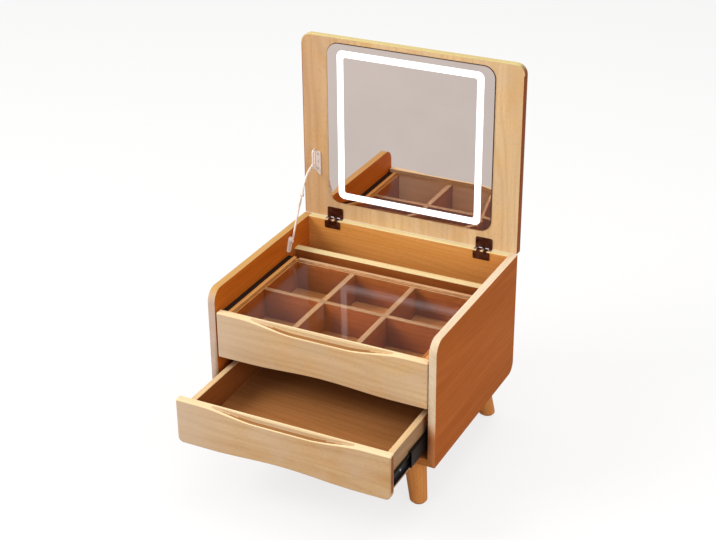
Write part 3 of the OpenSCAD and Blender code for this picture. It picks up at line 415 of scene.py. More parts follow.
LEG_H, LEG_IN_X, LEG_IN_Y, SPLAY = 102.0, 62.6, 45.0, 19.5
LEG_TOP_R, LEG_FOOT_R, FELT_T, FOOT_ROUND = 23.6, 16.9, 2.0, 3.2
FOOT_Z = FELT_T - LEG_H


def circle(u, v, r, count):
    """A circle's outline, of a number of points."""
    turns = [2 * pi * k / count for k in range(count)]
    return [(u + r * cos(a), v + r * sin(a)) for a in turns]


# painted light: the legs are painted paler and more orange than the case's beech, for light that does not reach
# under the case
leg_wood = beech("turned beech, legs", "#E29A56", "#D68C4A", "#B2662E", along=2, ring_mm=7.0)
leg_levels = [(FOOT_Z + FOOT_ROUND * (1 - cos(a)), FOOT_ROUND * (1 - sin(a)))
              for a in [i * pi / 12 for i in range(7)]]
leg_levels += [(FOOT_Z + FOOT_ROUND + k * (-FOOT_Z - FOOT_ROUND - 0.4) / 12, 0) for k in range(1, 13)]
leg_levels.append((0, 0.5))
for end in ("front", "rear"):
    for side, sign in SIDES.items():
        bm = bmesh.new()
        rings = []
        for z, inset in leg_levels:
            down = -z / LEG_H
            x = sign * (HALF_W - LEG_IN_X + SPLAY * down)
            y = LEG_IN_Y - SPLAY * down
            r = LEG_TOP_R + (LEG_FOOT_R - LEG_TOP_R) * down - inset
            rings.append(ring(bm, circle(x, y if end == "front" else CASE_D - y, r, 64), "z", z))
        skin(bm, rings)
        make_piece(f"turned_leg_{end}_{side}", bm, [leg_wood], "case", f"leg_{end}_{side}", "leg_wood")


def speckled(name, dark, light, scale, detail=2.0, coarse=0.5, rough=0.5, relief=None, **constants):
    """A finish in two tones that drift into each other, scale times a metre. Its
    roughness is one value, or runs with the tones between two, and relief is the
    strength and the depth of its bump. Constants go to the shader's own sockets."""
    made, tree, shader = start_material(name)
    drift = {"Vector": add(tree, "TexCoord").outputs["Object"], "Scale": scale}
    drift = add(tree, "TexNoise", {**drift, "Detail": detail, "Roughness": coarse})
    tone = add(tree, "Mix", {0: drift, 6: linear(dark), 7: linear(light)}, data_type="RGBA")
    if isinstance(rough, tuple):
        rough = add(tree, "MapRange", {"Value": drift, 1: 0.3, 2: 0.7, 3: rough[0], 4: rough[1]})
    feed(shader, {"Base Color": tone, "Roughness": rough})
    if relief:
        bump = {"Strength": relief[0], "Distance": relief[1], "Height": drift}
        feed(shader, {"Normal": add(tree, "Bump", bump)})
    feed(shader, {socket.replace("_", " "): value for socket, value in constants.items()})
    return made


def finish_nodes(material, *names):
    """Gives CAD nodes whose shape is right a finish."""
    for name in names:
        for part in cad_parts[name].material_slots:
            part.material = material


# felted wool: fibres lying every way, matt, with the odd paler hair
felt = speckled("pressed wool felt, foot discs", "#5A4030", "#8A6A50", 900.0, 4.0, 0.7, 0.95,
                (0.8, 0.0006), Sheen_Weight=0.4)
finish_nodes(felt, "foot_pads")

# plated by the barrel load: fine random scratches and a faint blue passivate
zinc = speckled("bright zinc plated steel", "#9DA3AA", "#C9CDD2", 700.0, 3.0, rough=(0.26, 0.42),
                Metallic=1.0)
finish_nodes(zinc, "leg_bolts")

# ---- Dowels -------------------------------------------------------------------
# Fluted beech pegs, 6 mm thick, glued into both pieces; all of them end up inside.

dowel_wood = beech("raw beech, dowels", "#E3C592", "#D8B57E", "#BD9458", rough=0.7, film=0.0)
finish_nodes(dowel_wood, "case_dowels", "tray_dowels", "drawer_dowels")

# ---- Ball bearing slides ------------------------------------------------------
# Three rolled steel channels a side, black electrophoretic paint over zinc, with
# bright steel balls in stamped cages between them.

black_steel, tree, shader = start_material("black painted steel, slides")
# dipped paint: thin and even, satin, rubbed a little brighter where parts run
place = add(tree, "TexCoord").outputs["Object"]
rub = add(tree, "Mapping", {"Vector": place, "Scale": (260.0, 8.0, 260.0)})
rub = add(tree, "TexNoise", {"Vector": rub, "Scale": 1.0, "Detail": 3.0})
paint = add(tree, "Mix", {0: rub, 6: linear("#0C0807"), 7: linear("#1A1310")}, data_type="RGBA")
satin = add(tree, "MapRange", {"Value": rub, 1: 0.3, 2: 0.7, 3: 0.4, 4: 0.56})
peel = add(tree, "TexNoise", {"Vector": place, "Scale": 500.0, "Detail": 2.0})
peel = add(tree, "Bump", {"Strength": 0.15, "Distance": 0.0002, "Height": peel})
feed(shader, {"Base Color": paint, "Roughness": satin, "Normal": peel, "Specular IOR Level": 0.22})

STEEL, BEND, LIP_R = 1.2, 2.2, 0.5
# each member's open side and web, from the middle of the case, and its half height
MEMBERS = {"outer": (213.5, 225.0, 22.6), "middle": (213.1, 220.4, 17.0), "inner": (218.4, 212.3, 13.0)}
RUNS = {"tray": {"outer": (17.0, 290.0), "middle": (17.5, 286.0), "inner": (16.5, 290.0)},
        "drawer": {"outer": (17.0, 365.0), "middle": (-60.5, 283.0), "inner": (-139.5, 209.0)}}
SLIDE_Z = {"tray": 192.0, "drawer": 49.0}


def channel(x_open, x_web, half, z):
    """Section of a rolled channel: its open side, its web, and both bends."""
    inner = x_web + (STEEL if x_open > x_web else -STEEL)
    return rounded([(x_open, z - half, LIP_R), (x_web, z - half, BEND), (x_web, z + half, BEND),
                    (x_open, z + half, LIP_R), (x_open, z + half - STEEL, LIP_R),
                    (inner, z + half - STEEL, BEND - STEEL), (inner, z - half + STEEL, BEND - STEEL),
                    (x_open, z - half + STEEL, LIP_R)], 5)


for box, runs in RUNS.items():
    for member, (y0, y1) in runs.items():
        rider = {"outer": "case", "middle": f"{box}_runners", "inner": box}[member]
        for side, sign in SIDES.items():
            section = [(sign * u, v) for u, v in channel(*MEMBERS[member], SLIDE_Z[box])]
            board(f"{box}_{member}_channel_{side}", section, "y", y0, y1, [black_steel], rider,
                  f"{box}_slide_{member}_{side}", "black_steel")

# balls and cages under a film of grease
ball_steel = speckled("polished bearing steel", "#B4B7BB", "#DADCDF", 300.0, rough=(0.1, 0.3), Metallic=1.0)
finish_nodes(ball_steel, "tray_slide_balls", "drawer_slide_balls")

# ---- Slide screws -------------------------------------------------------------
# Pan head screws, zinc plated, with a stamped cross: three hold each outer member
# to the side panel and two each inner member to its box.

SCREW_R, HEAD_R, SCREW_LEN, POINT, PAN_H, SUNK_H = 1.6, 3.1, 11.0, 2.4, 1.4, 1.5
CROSS_ARM, CROSS_HALF, CROSS_DEEP = 1.9, 0.45, 0.9
OUTER_X, INNER_X = IN_W - STEEL, MEMBERS["inner"][1] + STEEL
OUTER_HOLES = {"tray": (44.5, 145.5, 265.0), "drawer": (44.5, 191.5, 340.0)}
INNER_HOLES = {"tray": (60.0, 240.0), "drawer": (-96.0, 149.0)}
TURNS = {"+x": Matrix.Rotation(pi / 2, 4, "Y"), "-x": Matrix.Rotation(-pi / 2, 4, "Y"),
         "-y": Matrix.Rotation(pi / 2, 4, "X")}


def screw(pan):
    """One screw about z: its head at z = 0, countersunk or pan shaped, with a
    cross sunk into it, and its shank drawn to a point below."""
    top, neck, neck_r, rim = (PAN_H, 0.0, HEAD_R, 0.7) if pan else (0.0, -SUNK_H, HEAD_R - SUNK_H, 0.12)
    levels = [(-SCREW_LEN, 0.3), (POINT - SCREW_LEN, SCREW_R), (neck, SCREW_R), (neck, neck_r),
              (top - rim, HEAD_R), (top - 0.12, HEAD_R - 0.35), (top, HEAD_R - 1.0)]
    bm, cross = bmesh.new(), bmesh.new()
    skin(bm, [ring(bm, circle(0, 0, r, 24), "loose", z) for z, r in levels])
    c, arm = CROSS_HALF, CROSS_ARM
    plus = [(c, c), (c, arm), (-c, arm), (-c, c), (-arm, c), (-arm, -c), (-c, -c), (-c, -arm), (c, -arm),
            (c, -c), (arm, -c), (arm, c)]
    prism(cross, plus, "loose", top - CROSS_DEEP, top + 1)
    for each in (bm, cross):
        bmesh.ops.recalc_face_normals(each, faces=each.faces)
    return cut(bm, cross)


def drive(bm, pattern, places, toward, finish=0):
    """Copies of a screw at places, with their heads looking one way."""
    for place in places:
        one = pattern.copy()
        bmesh.ops.transform(one, matrix=Matrix.Translation(put(*place)) @ TURNS[toward], verts=one.verts)
        for face in one.faces:
            face.material_index = finish
        mesh = bpy.data.meshes.new("screw")
        one.to_mesh(mesh)
        one.free()
        bm.from_mesh(mesh)
        bpy.data.meshes.remove(mesh)


pan = screw(True)
bm = bmesh.new()
for sign, toward in ((1, "-x"), (-1, "+x")):
    for box, holes in OUTER_HOLES.items():
        drive(bm, pan, [(sign * OUTER_X, y, SLIDE_Z[box]) for y in holes], toward)
make_piece("slide_screws", bm, [zinc], "case", "slide_screws_case", "zinc_steel")
for box, holes in INNER_HOLES.items():
    bm = bmesh.new()
    for sign, toward in ((1, "+x"), (-1, "-x")):
        drive(bm, pan, [(sign * INNER_X, y, SLIDE_Z[box]) for y in holes], toward)
    make_piece(f"{box}_screws", bm, [zinc], box, f"{box}_slide_screws", "zinc_steel")

# ---- Fronts -------------------------------------------------------------------
# Each front is one beech board 15 mm thick, grain lengthways. A wide cove for the
# fingers is milled along its upper edge, hollow behind a thin rim and with a thin
# lip behind it; the lower edge is cut to a shallow arch, and every edge is sanded.

FRONT_T, FRONT_HALF = 15.0, 223.0
END_R, LOW_R, RIM_R, RIM_THIN = 2.5, 2.4, 4.2, 2.2
LIP, HOLLOW = 5.0, 4.2
WAVE_FLAT, WAVE_END = 52.0, 176.0
ARCH, ARCH_END = 6.5, 156.0
GROOVE, BASE_T = 5.0, 6.0
DRAWER_OUT = 156.0
# the fronts' left ends are painted paler and cooler: painted light from the left
figure = {"contrast": 0.85, "ring_mm": 15.0, "silk": 0.4, "painted_left_light": 0.85}
front_face = beech("lacquered beech, upper front", "#DFBE91", "#D0A876", "#B88A58", **figure)
# painted shade: the lower front is the same beech, painted deeper as it stands lower and in less light
drawer_face = beech("lacquered beech, lower front", "#D2B086", "#C29868", "#AC7E4C", **figure)
front_edge = beech("lacquered beech, sanded front edges", "#EFD9B0", "#E6CB9C", "#CFA973", contrast=0.45)
# painted shade: the cove's bottom behind the rim is painted darker
front_cove_shade = beech("lacquered beech, painted shade in the cove", "#A87848", "#9A6A3C", "#7E5028", contrast=0.6)
# the ends are end grain, painted deeper still to the tone of the shaded sides: partly the grain, partly painted
# shade
front_end = beech("lacquered beech, front ends", "#9C5A30", "#8E4C26", "#703818")


def dip_at(x, most):
    """Depth of the cove at x: a smooth wave, level over the middle of the front."""
    t = min(1.0, max(0.0, (WAVE_END - abs(x)) / (WAVE_END - WAVE_FLAT)))
    return most * t * t * (3 - 2 * t)


def front_section(low, height, dip, most, groove, deep):
    """Section of a front: its lower edge at low, the cove dip deep in its upper
    edge, and in its rear face the groove for the bottom panel, from a height up."""
    front_r = RIM_R - RIM_THIN * dip / most
    section = [(FRONT_T, low + 1), (FRONT_T - 0.3, low + 0.3), (FRONT_T - 1, low)]
    section += [(LOW_R - LOW_R * sin(a), low + LOW_R - LOW_R * cos(a)) for a in [i * pi / 8 for i in range(5)]]
    section += [(0, low + LOW_R + (height - dip - front_r - low - LOW_R) * k / 6) for k in range(1, 6)]
    section += [(front_r * (1 - cos(a)), height - dip - front_r * (1 - sin(a)))
                for a in [i * pi / 10 for i in range(6)]]
    back = FRONT_T - LIP
    for a in [i * pi / 16 for i in range(1, 9)]:
        hollow = HOLLOW * dip / most * sin(2 * a)
        section.append((front_r + (back - front_r) * sin(a), height - dip * cos(a) - hollow))
    section += [(back + 0.6, height), (FRONT_T - 1.2, height), (FRONT_T - 0.35, height - 0.35),
                (FRONT_T, height - 1.2)]
    return section + [(FRONT_T, groove + BASE_T), (FRONT_T - deep, groove + BASE_T),
                      (FRONT_T - deep, groove), (FRONT_T, groove)]


def front_board(box, z0, height, most, low_r, groove_z, groove_half, y_shift, face):
    """One front, lofted from sections across its length."""
    stations = [END_R * (1 - cos(i * pi / 8)) - FRONT_HALF for i in range(4)]
    stations += [END_R - FRONT_HALF + k * (max(low_r, 3) - END_R) / 8 for k in range(9)]
    start = stations[-1]
    stations += [start - start * k / 60 for k in range(1, 61)]
    stations += [-x for x in reversed(stations[:-1])]
    stations += [s * (groove_half + d) for s in (-1, 1) for d in (0, 0.02)]
    stations = sorted(set(round(x, 4) for x in stations))
    bm = bmesh.new()
    rings, dips = [], [dip_at(x, most) for x in stations]
    for x, dip in zip(stations, dips):
        from_end = FRONT_HALF - abs(x)
        inset = END_R * (1 - sin(acos(max(0.0, 1 - from_end / END_R)))) if from_end < END_R else 0.0
        low = ARCH * (1 + cos(pi * x / ARCH_END)) / 2 if abs(x) < ARCH_END else 0.0
        if low_r and from_end < low_r:
            low = low_r - sqrt(max(0.0, low_r**2 - (low_r - from_end) ** 2))
        deep = GROOVE if abs(x) <= groove_half else 0.0
        mid = (low + height) / 2
        thin, short = 1 - inset / (FRONT_T / 2), 1 - inset / ((height - low) / 2)
        section = [(FRONT_T / 2 + (y - FRONT_T / 2) * thin + y_shift, mid + (z - mid) * short + z0)
                   for y, z in front_section(low, height, dip, most, groove_z - z0, deep)]
        rings.append(ring(bm, section, "x", x))

    def finish(i, step):
        """The rim, the lip and the level ends of the upper edge are paler, partly a
        painted highlight, and the bottom of the cove is painted deeper: painted shade."""
        dip = min(dips[step : step + 2])
        if 19 <= i < 25 and dip > 1.5:
            return 3 if i < 19 + min(4, int(dip / 2.2)) else 0
        return 1 if 14 <= i < 30 else 0

    skin(bm, rings, finish, 2)
    finishes = [face, front_edge, front_end, front_cove_shade]
    make_piece(f"{box}_front_board", bm, finishes, box, f"{box}_front", "light_wood")


front_board("tray", 124.0, 98.5, 14.0, 0, 143.0, 202.3, 0.0, front_face)
front_board("drawer", 20.5, 94.5, 12.0, 12.0, 31.0, 205.3, -DRAWER_OUT, drawer_face)

# ---- Tray box -----------------------------------------------------------------
# Beech walls 15 mm thick, doweled, with a rebate round the top that carries the
# glass and a groove for the bottom panel. Two long dividers and one cross divider
# are halved into each other and make six compartments.

BOX_HALF = 212.3
TRAY_WALL, TRAY_Z0, TRAY_Z1, TRAY_Y1 = 15.0, 139.0, 215.0, 291.0
TRAY_IN, TRAY_IN_Y1, TRAY_BASE_Z = BOX_HALF - TRAY_WALL, TRAY_Y1 - TRAY_WALL, 143.0
LEDGE, GLASS_T = 7.0, 4.0
# painted shade: the tray's walls and cross boards are painted deep brown inside the compartments
wall_wood = beech("lacquered beech, tray walls", "#9A5628", "#8E4B20", "#723612", along=1)
wall_edge = beech("lacquered beech, tray edges", "#E2A662", "#D49650", "#B47C3C", 1, 0.5)
# painted shade: the dividers' edges are painted darker than the walls' tops, low in the tray under the glass
divider_edge = beech("lacquered beech, long dividers' edges", "#A6876A", "#9B7859", "#826143", 1, 0.5)
notched_edge = beech("lacquered beech, cross divider's edges", "#9C7C60", "#906E50", "#785A3E", 0, 0.5)
cross_wood = beech("lacquered beech, cross boards", "#9A5628", "#8E4B20", "#723612")
cross_edge = beech("lacquered beech, cross board edges", "#CCA47C", "#BF9268", "#A0764E", 0, 0.5)


def wall_section(inner, outer, z0, z1, base_z, ledge=0.0):
    """Section across a box wall: groove for the bottom, rebate for the glass."""
    toward = 1 if outer > inner else -1
    shape = [(outer, z0), (outer, z1)]
    if ledge:
        rebate = inner + toward * ledge
        shape += [(rebate, z1), (rebate, z1 - GLASS_T), (inner, z1 - GLASS_T)]
    else:
        shape.append((inner, z1))
    groove = inner + toward * GROOVE
    return shape + [(inner, base_z + BASE_T), (groove, base_z + BASE_T), (groove, base_z), (inner, base_z),
                    (inner, z0)]


for side, sign in SIDES.items():
    section = wall_section(sign * TRAY_IN, sign * BOX_HALF, TRAY_Z0, TRAY_Z1, TRAY_BASE_Z, LEDGE)
    board(f"tray_wall_{side}", section, "y", FRONT_T, TRAY_Y1, [wall_wood, wall_edge], "tray",
          f"tray_side_{side}", "light_wood", 0.8, TRAY_Z1, 5.0)
board("tray_back_wall", wall_section(TRAY_IN_Y1, TRAY_Y1, TRAY_Z0, TRAY_Z1, TRAY_BASE_Z, LEDGE), "x",
      -TRAY_IN, TRAY_IN, [cross_wood, cross_edge], "tray", "tray_back", "light_wood", 0.8, TRAY_Z1, 5.0)

DIVIDER_T, DIVIDER_X, CROSS_Y, FIT = 11.0, 67.6, 145.5, 0.1
FLOOR_Z, DIVIDER_Z = TRAY_BASE_Z + BASE_T, 210.7
LAP_Z = (FLOOR_Z + DIVIDER_Z) / 2


def across(middle, fit=0.0):
    """Both sides of a divider about its middle, or of the notch that takes it."""
    return middle - DIVIDER_T / 2 - fit, middle + DIVIDER_T / 2 + fit


for side, sign in SIDES.items():
    lap = across(CROSS_Y, FIT)
    shape = [(FRONT_T, FLOOR_Z), (TRAY_IN_Y1, FLOOR_Z), (TRAY_IN_Y1, DIVIDER_Z), (lap[1], DIVIDER_Z),
             (lap[1], LAP_Z), (lap[0], LAP_Z), (lap[0], DIVIDER_Z), (FRONT_T, DIVIDER_Z)]
    board(f"long_divider_{side}", shape, "x", *across(sign * DIVIDER_X), [wall_wood, divider_edge], "tray",
          f"tray_divider_{side}", "light_wood", 0.7, DIVIDER_Z)
shape = [(-TRAY_IN, DIVIDER_Z), (-TRAY_IN, FLOOR_Z)]
for sign in SIDES.values():
    lap = across(sign * DIVIDER_X, FIT)
    shape += [(lap[0], FLOOR_Z), (lap[0], LAP_Z), (lap[1], LAP_Z), (lap[1], FLOOR_Z)]
shape += [(TRAY_IN, FLOOR_Z), (TRAY_IN, DIVIDER_Z)]
board("cross_divider", shape, "y", *across(CROSS_Y), [cross_wood, notched_edge], "tray",
      "tray_cross_divider", "light_wood", 0.7, DIVIDER_Z)

base_wood = beech("lacquered beech ply, bottom panels", "#B57C4A", "#A86E3C", "#8E5628", contrast=0.8)
finish_nodes(base_wood, "tray_base", "drawer_base")

# ---- Glass pane ---------------------------------------------------------------
# Float glass 4 mm thick with a faint bronze tint, its edges ground and polished,
# laid loose in the tray's rebate. Clear enough to see the compartments through.

GLASS_HALF, GLASS_Y0, GLASS_Y1, GLASS_R, GLASS_EASE = 203.8, 15.5, 282.5, 2.0, 0.6
GLASS_Z = TRAY_Z1 - GLASS_T
pane, tree, shader = start_material("bronze tinted float glass")
pane_tint = linear("#FAF6F1")
feed(shader, {"Base Color": pane_tint, "Roughness": 0.0, "IOR": 1.17, "Transmission Weight": 1.0})
# lamps shine through the glass, tinted, onto what is under it
clear = add(tree, "BsdfTransparent", {"Color": pane_tint})
shadow = add(tree, "LightPath").outputs["Is Shadow Ray"]
either = add(tree, "MixShader", {0: shadow, 1: shader, 2: clear})
feed(tree.nodes["Material Output"], {"Surface": either})

bm = bmesh.new()
rings = []
for d, z in ((GLASS_EASE, GLASS_Z), (0.0, GLASS_Z + GLASS_EASE), (0.0, TRAY_Z1 - GLASS_EASE),
             (GLASS_EASE, TRAY_Z1)):
    outline = oblong(d - GLASS_HALF, GLASS_HALF - d, GLASS_Y0 + d, GLASS_Y1 - d, GLASS_R - d, steps=10)
    rings.append(ring(bm, outline, "z", z))
skin(bm, rings)
make_piece("glass_pane", bm, [pane], "glass", "tray_glass", "pane_glass")

# ---- Lower drawer box ---------------------------------------------------------
# Beech walls 12 mm thick round a bottom panel that lies in a groove, doweled at
# the corners. The top edges are eased and paler than the faces, whose inner sides
# are painted deep brown: painted shade.

DRAWER_WALL, DRAWER_Y1, DRAWER_TOP = 12.0, 365.0 - DRAWER_OUT, 99.0
DRAWER_IN, DRAWER_IN_Y1 = BOX_HALF - DRAWER_WALL, DRAWER_Y1 - DRAWER_WALL
drawer_heights = (22.0, DRAWER_TOP, 31.0)
# painted shade: the walls' inner faces are painted deep brown
drawer_wood = beech("lacquered beech, drawer walls", "#9A5C2E", "#8E5024", "#703A16", along=1)
drawer_outer = beech("lacquered beech, drawer walls outside", "#B5906A", "#A88260", "#8C6848", along=1)
drawer_edge = beech("lacquered beech, drawer edges", "#E8CBA0", "#DDBB8C", "#C69C6A", 1, 0.5)
for side, sign in SIDES.items():
    board(f"drawer_wall_{side}", wall_section(sign * DRAWER_IN, sign * BOX_HALF, *drawer_heights), "y",
          FRONT_T - DRAWER_OUT, DRAWER_Y1, [drawer_wood, drawer_outer, drawer_edge], "drawer",
          f"drawer_side_{side}", "light_wood", 1.2, DRAWER_TOP, outer=sign)
board("drawer_back_wall", wall_section(DRAWER_IN_Y1, DRAWER_Y1, *drawer_heights), "x", -DRAWER_IN,
      DRAWER_IN, [cross_wood, cross_edge], "drawer", "drawer_back", "light_wood", 1.2, DRAWER_TOP)

# ---- Lid ----------------------------------------------------------------------
# One beech board, grain up and down as it stands open, with large round corners
# at its free edge and a stepped recess that the mirror is glued into. The rim is
# sanded to a full round.

LID_Y0, LID_Z0, LID_Z1 = 397.5, 267.2, 662.6
LID_R, LID_HINGE_R, LID_ROUND, LID_LOW_ROUND = 21.0, 3.0, 2.2, 0.25
MIRROR_HALF, MIRROR_Z0, MIRROR_Z1, MIRROR_R = 181.0, 304.0, 651.0, 25.0
MIRROR_Y0, MIRROR_Y1, MIRROR_GAP, MIRROR_LEDGE, RECESS_Y1 = 395.5, 399.5, 0.4, 9.0, 405.5
CORNER = 11  # points round a corner
lid_face = beech("lacquered beech, lid faces", "#E7C697", "#DCB37D", "#BE8F52", 2, 0.85, 13.0, silk=0.3)
# painted shade: the board is painted deeper in tone towards its left edge
paint_light_and_shade(lid_face, "Object", "X", -0.08, -0.24, "#E6D8D2")
lid_top = beech("lacquered beech, lid's free edge", "#D6C68F", "#CDB980", "#B99C5A", contrast=0.5)
# painted shade: its tone deepens round the corners, from the end grain into the dark long edges
paint_light_and_shade(lid_top, "Normal", "X", 0.35, 0.95, "#A5604A")
# painted shade and light: the long edges are the same beech painted dark brown, the free edge above pale yellow
lid_side = beech("lacquered beech, lid's long edges", "#9A5426", "#8A461C", "#6C3210", 2, 0.6)


def lid_ring(bm, inset, y):
    """The lid's outline, inset, across y; the edge at the hinges is inset less."""
    low, high = max(LID_HINGE_R - inset, 0.4), LID_R - inset
    floor_z = LID_Z0 + inset * LID_LOW_ROUND / LID_ROUND
    outline = oblong(inset - HALF_W, HALF_W - inset, floor_z, LID_Z1 - inset, low, low, high, high,
                     steps=CORNER - 1)
    return ring(bm, outline, "y", y)


def mirror_ring(bm, inset, y):
    """The mirror's outline, inset, across y."""
    outline = oblong(inset - MIRROR_HALF, MIRROR_HALF - inset, MIRROR_Z0 + inset, MIRROR_Z1 - inset,
                     MIRROR_R - inset, steps=CORNER - 1)
    return ring(bm, outline, "y", y)


bm = bmesh.new()
rings = [mirror_ring(bm, MIRROR_LEDGE, y) for y in (RECESS_Y1, MIRROR_Y1)]
rings += [mirror_ring(bm, -MIRROR_GAP - d, y) for d, y in ((0, MIRROR_Y1), (0, LID_Y0 + 0.4), (0.4, LID_Y0))]
face_rings = len(rings)
rim_turn = [(LID_ROUND * (1 - sin(a)), LID_ROUND * (1 - cos(a))) for a in [i * pi / 10 for i in range(6)]]
rings += [lid_ring(bm, inset, LID_Y0 + rise) for inset, rise in rim_turn]
rings += [lid_ring(bm, rise, LID_Y0 + BOARD - inset) for inset, rise in rim_turn]


def lid_finish(i, step):
    """Faces first, then the rim: its free edge runs between the two upper corners."""
    if step < face_rings:
        return 0
    return 1 if 2 * CORNER <= i < 4 * CORNER - 1 else 2


skin(bm, rings, lid_finish)
make_piece("lid_panel", bm, [lid_face, lid_top, lid_side], "lid", "lid_board", "lid_wood")

# ---- Mirror -------------------------------------------------------------------
# Silvered glass 4 mm thick with ground corners, glued to the ledge in the lid. A
# band 14 mm wide is left unsilvered and sandblasted, and glows with the light
# strip behind it.

BAND_HALF, BAND_Z0, BAND_Z1, BAND_W, BAND_R, BAND_IN_R = 158.5, 315.2, 637.6, 14.0, 13.0, 5.0
BAND_Y, BAND_GAP, BAND_SUNK = MIRROR_Y0 + 0.6, 0.1, 0.05
# a true mirror: the silver seen through slightly grey glass, with faint haze
silver = speckled("silvered glass", "#E1D3CD", "#ECDED7", 12.0, rough=(0.0, 0.02), Metallic=1.0)
# the mirror's edge, ground with fine grit and half matt, painted dark brown: a painted shadow and a painted
# reflection of the wood beside it
ground = speckled("ground glass edge", "#3E2A20", "#5C4436", 1200.0, rough=0.4)


def band_ring(bm, inset, y):
    """The light band's outline, inset, across y: its inner corners are tighter."""
    r = BAND_IN_R if inset > 0 else BAND_R - inset
    outline = oblong(inset - BAND_HALF, BAND_HALF - inset, BAND_Z0 + inset, BAND_Z1 - inset, r,
                     steps=CORNER - 1)
    return ring(bm, outline, "y", y)


bm = bmesh.new()
rings = [mirror_ring(bm, d, y)
         for d, y in ((0.3, MIRROR_Y1), (0, MIRROR_Y1 - 0.3), (0, MIRROR_Y0 + 0.7), (0.7, MIRROR_Y0))]
edge_steps = len(rings) - 1
rings += [band_ring(bm, -BAND_GAP, y) for y in (MIRROR_Y0, BAND_Y)]
rings += [band_ring(bm, BAND_W + BAND_GAP, y) for y in (BAND_Y, MIRROR_Y0)]
skin(bm, rings, lambda i, step: int(step < edge_steps))
make_piece("mirror_plate", bm, [silver, ground], "lid", "mirror_glass", "mirror_silver")

# blasted with fine grit, so the strip's light comes out even and white
frosted = speckled("sandblasted glass, lit from behind", "#F6F4FA", "#FFFFFF", 1500.0, rough=0.6,
                   Emission_Strength=0.9)
shader = frosted.node_tree.nodes["Principled BSDF"]
feed(shader, {"Emission Color": shader.inputs["Base Color"].links[0].from_socket})
bm = bmesh.new()
rings = [band_ring(bm, 0, y) for y in (BAND_Y, MIRROR_Y0 + BAND_SUNK)]
rings += [band_ring(bm, BAND_W, y) for y in (MIRROR_Y0 + BAND_SUNK, BAND_Y)]
skin(bm, rings + rings[:1], ends=None)
make_piece("light_band", bm, [frosted], "lid", "frosted_band", "frosted_glass")

led_film, tree, shader = start_material("silicone covered light strip")
# milky silicone over the diodes, one lit spot every 8 mm
spots = add(tree, "TexVoronoi", {"Vector": add(tree, "TexCoord").outputs["Object"], "Scale": 125.0})
glow = add(tree, "MapRange", {"Value": spots, 1: 0.0, 2: 0.6, 3: 1.0, 4: 0.2})
feed(shader, {"Base Color": linear("#F4F1E4"), "Roughness": 0.5, "Emission Color": linear("#FFF6E0"),
              "Emission Strength": glow})
finish_nodes(led_film, "led_strip")
# blue heat shrink pulled tight over the cells, glossy with soft wrinkles
battery_film = speckled("shrunk PVC film, battery", "#2E4382", "#4259A0", 60.0, 3.0, rough=0.25,
                        relief=(0.4, 0.001))
finish_nodes(battery_film, "battery_pack")

# ---- Hinges -------------------------------------------------------------------
# Two brass plated steel hinges, darkened to bronze. The leaves are pressed, with
# fingers rolled round the pin, and each is fixed with two countersunk screws.

bronze, tree, shader = start_material("antique bronze plate, hinges")
# tumbled after plating, dark in the hollows and brassy where worn: drawn as drifting patches of both
cloud = {"Vector": add(tree, "TexCoord").outputs["Object"], "Scale": 90.0, "Detail": 5.0, "Roughness": 0.4}
cloud = add(tree, "TexNoise", cloud)
tone = add(tree, "ValToRGB", {"Fac": cloud})
for stop, position, colour in zip(tone.color_ramp.elements, (0.2, 0.9), ("#4A2A22", "#8A5E4C")):
    stop.position, stop.color = position, linear(colour)
rub = add(tree, "MapRange", {"Value": cloud, 1: 0.3, 2: 0.7, 3: 0.24, 4: 0.42})
feed(shader, {"Base Color": tone, "Roughness": rub, "Metallic": 1.0})
# the same plate, paler on the barrels: a painted highlight where they catch the light
painted_highlight = speckled("bronze plate, rubbed knuckles", "#74504A", "#B08C80", 140.0, 4.0, rough=(0.42, 0.58),
                  Metallic=1.0)

LEAF_T, LID_LEAF, LID_FINGER, CASE_LEAF, KNUCKLE_GAP, WEB_T = 1.5, 27.0, 12.0, 18.6, 0.3, 0.3
KNUCKLE_W = (HINGE_W - 4 * KNUCKLE_GAP) / 5
knuckles = [-HINGE_W / 2 + i * (KNUCKLE_W + KNUCKLE_GAP) for i in range(5)]


def turned(bm, y, z, levels, count):
    """A solid turned about a line along x, from its levels (x, radius)."""
    skin(bm, [ring(bm, circle(y, z, r, count), "x", x) for x, r in levels])


def barrel(bm, x):
    """One rolled knuckle round the pin, with its ends rounded off."""
    half = [(0.0, 4.4), (0.25, 4.9), (0.7, KNUCKLE_R)]
    levels = [(x + d, r) for d, r in half] + [(x + KNUCKLE_W - d, r) for d, r in half[::-1]]
    turned(bm, AXIS_Y, AXIS_Z, levels, 32)


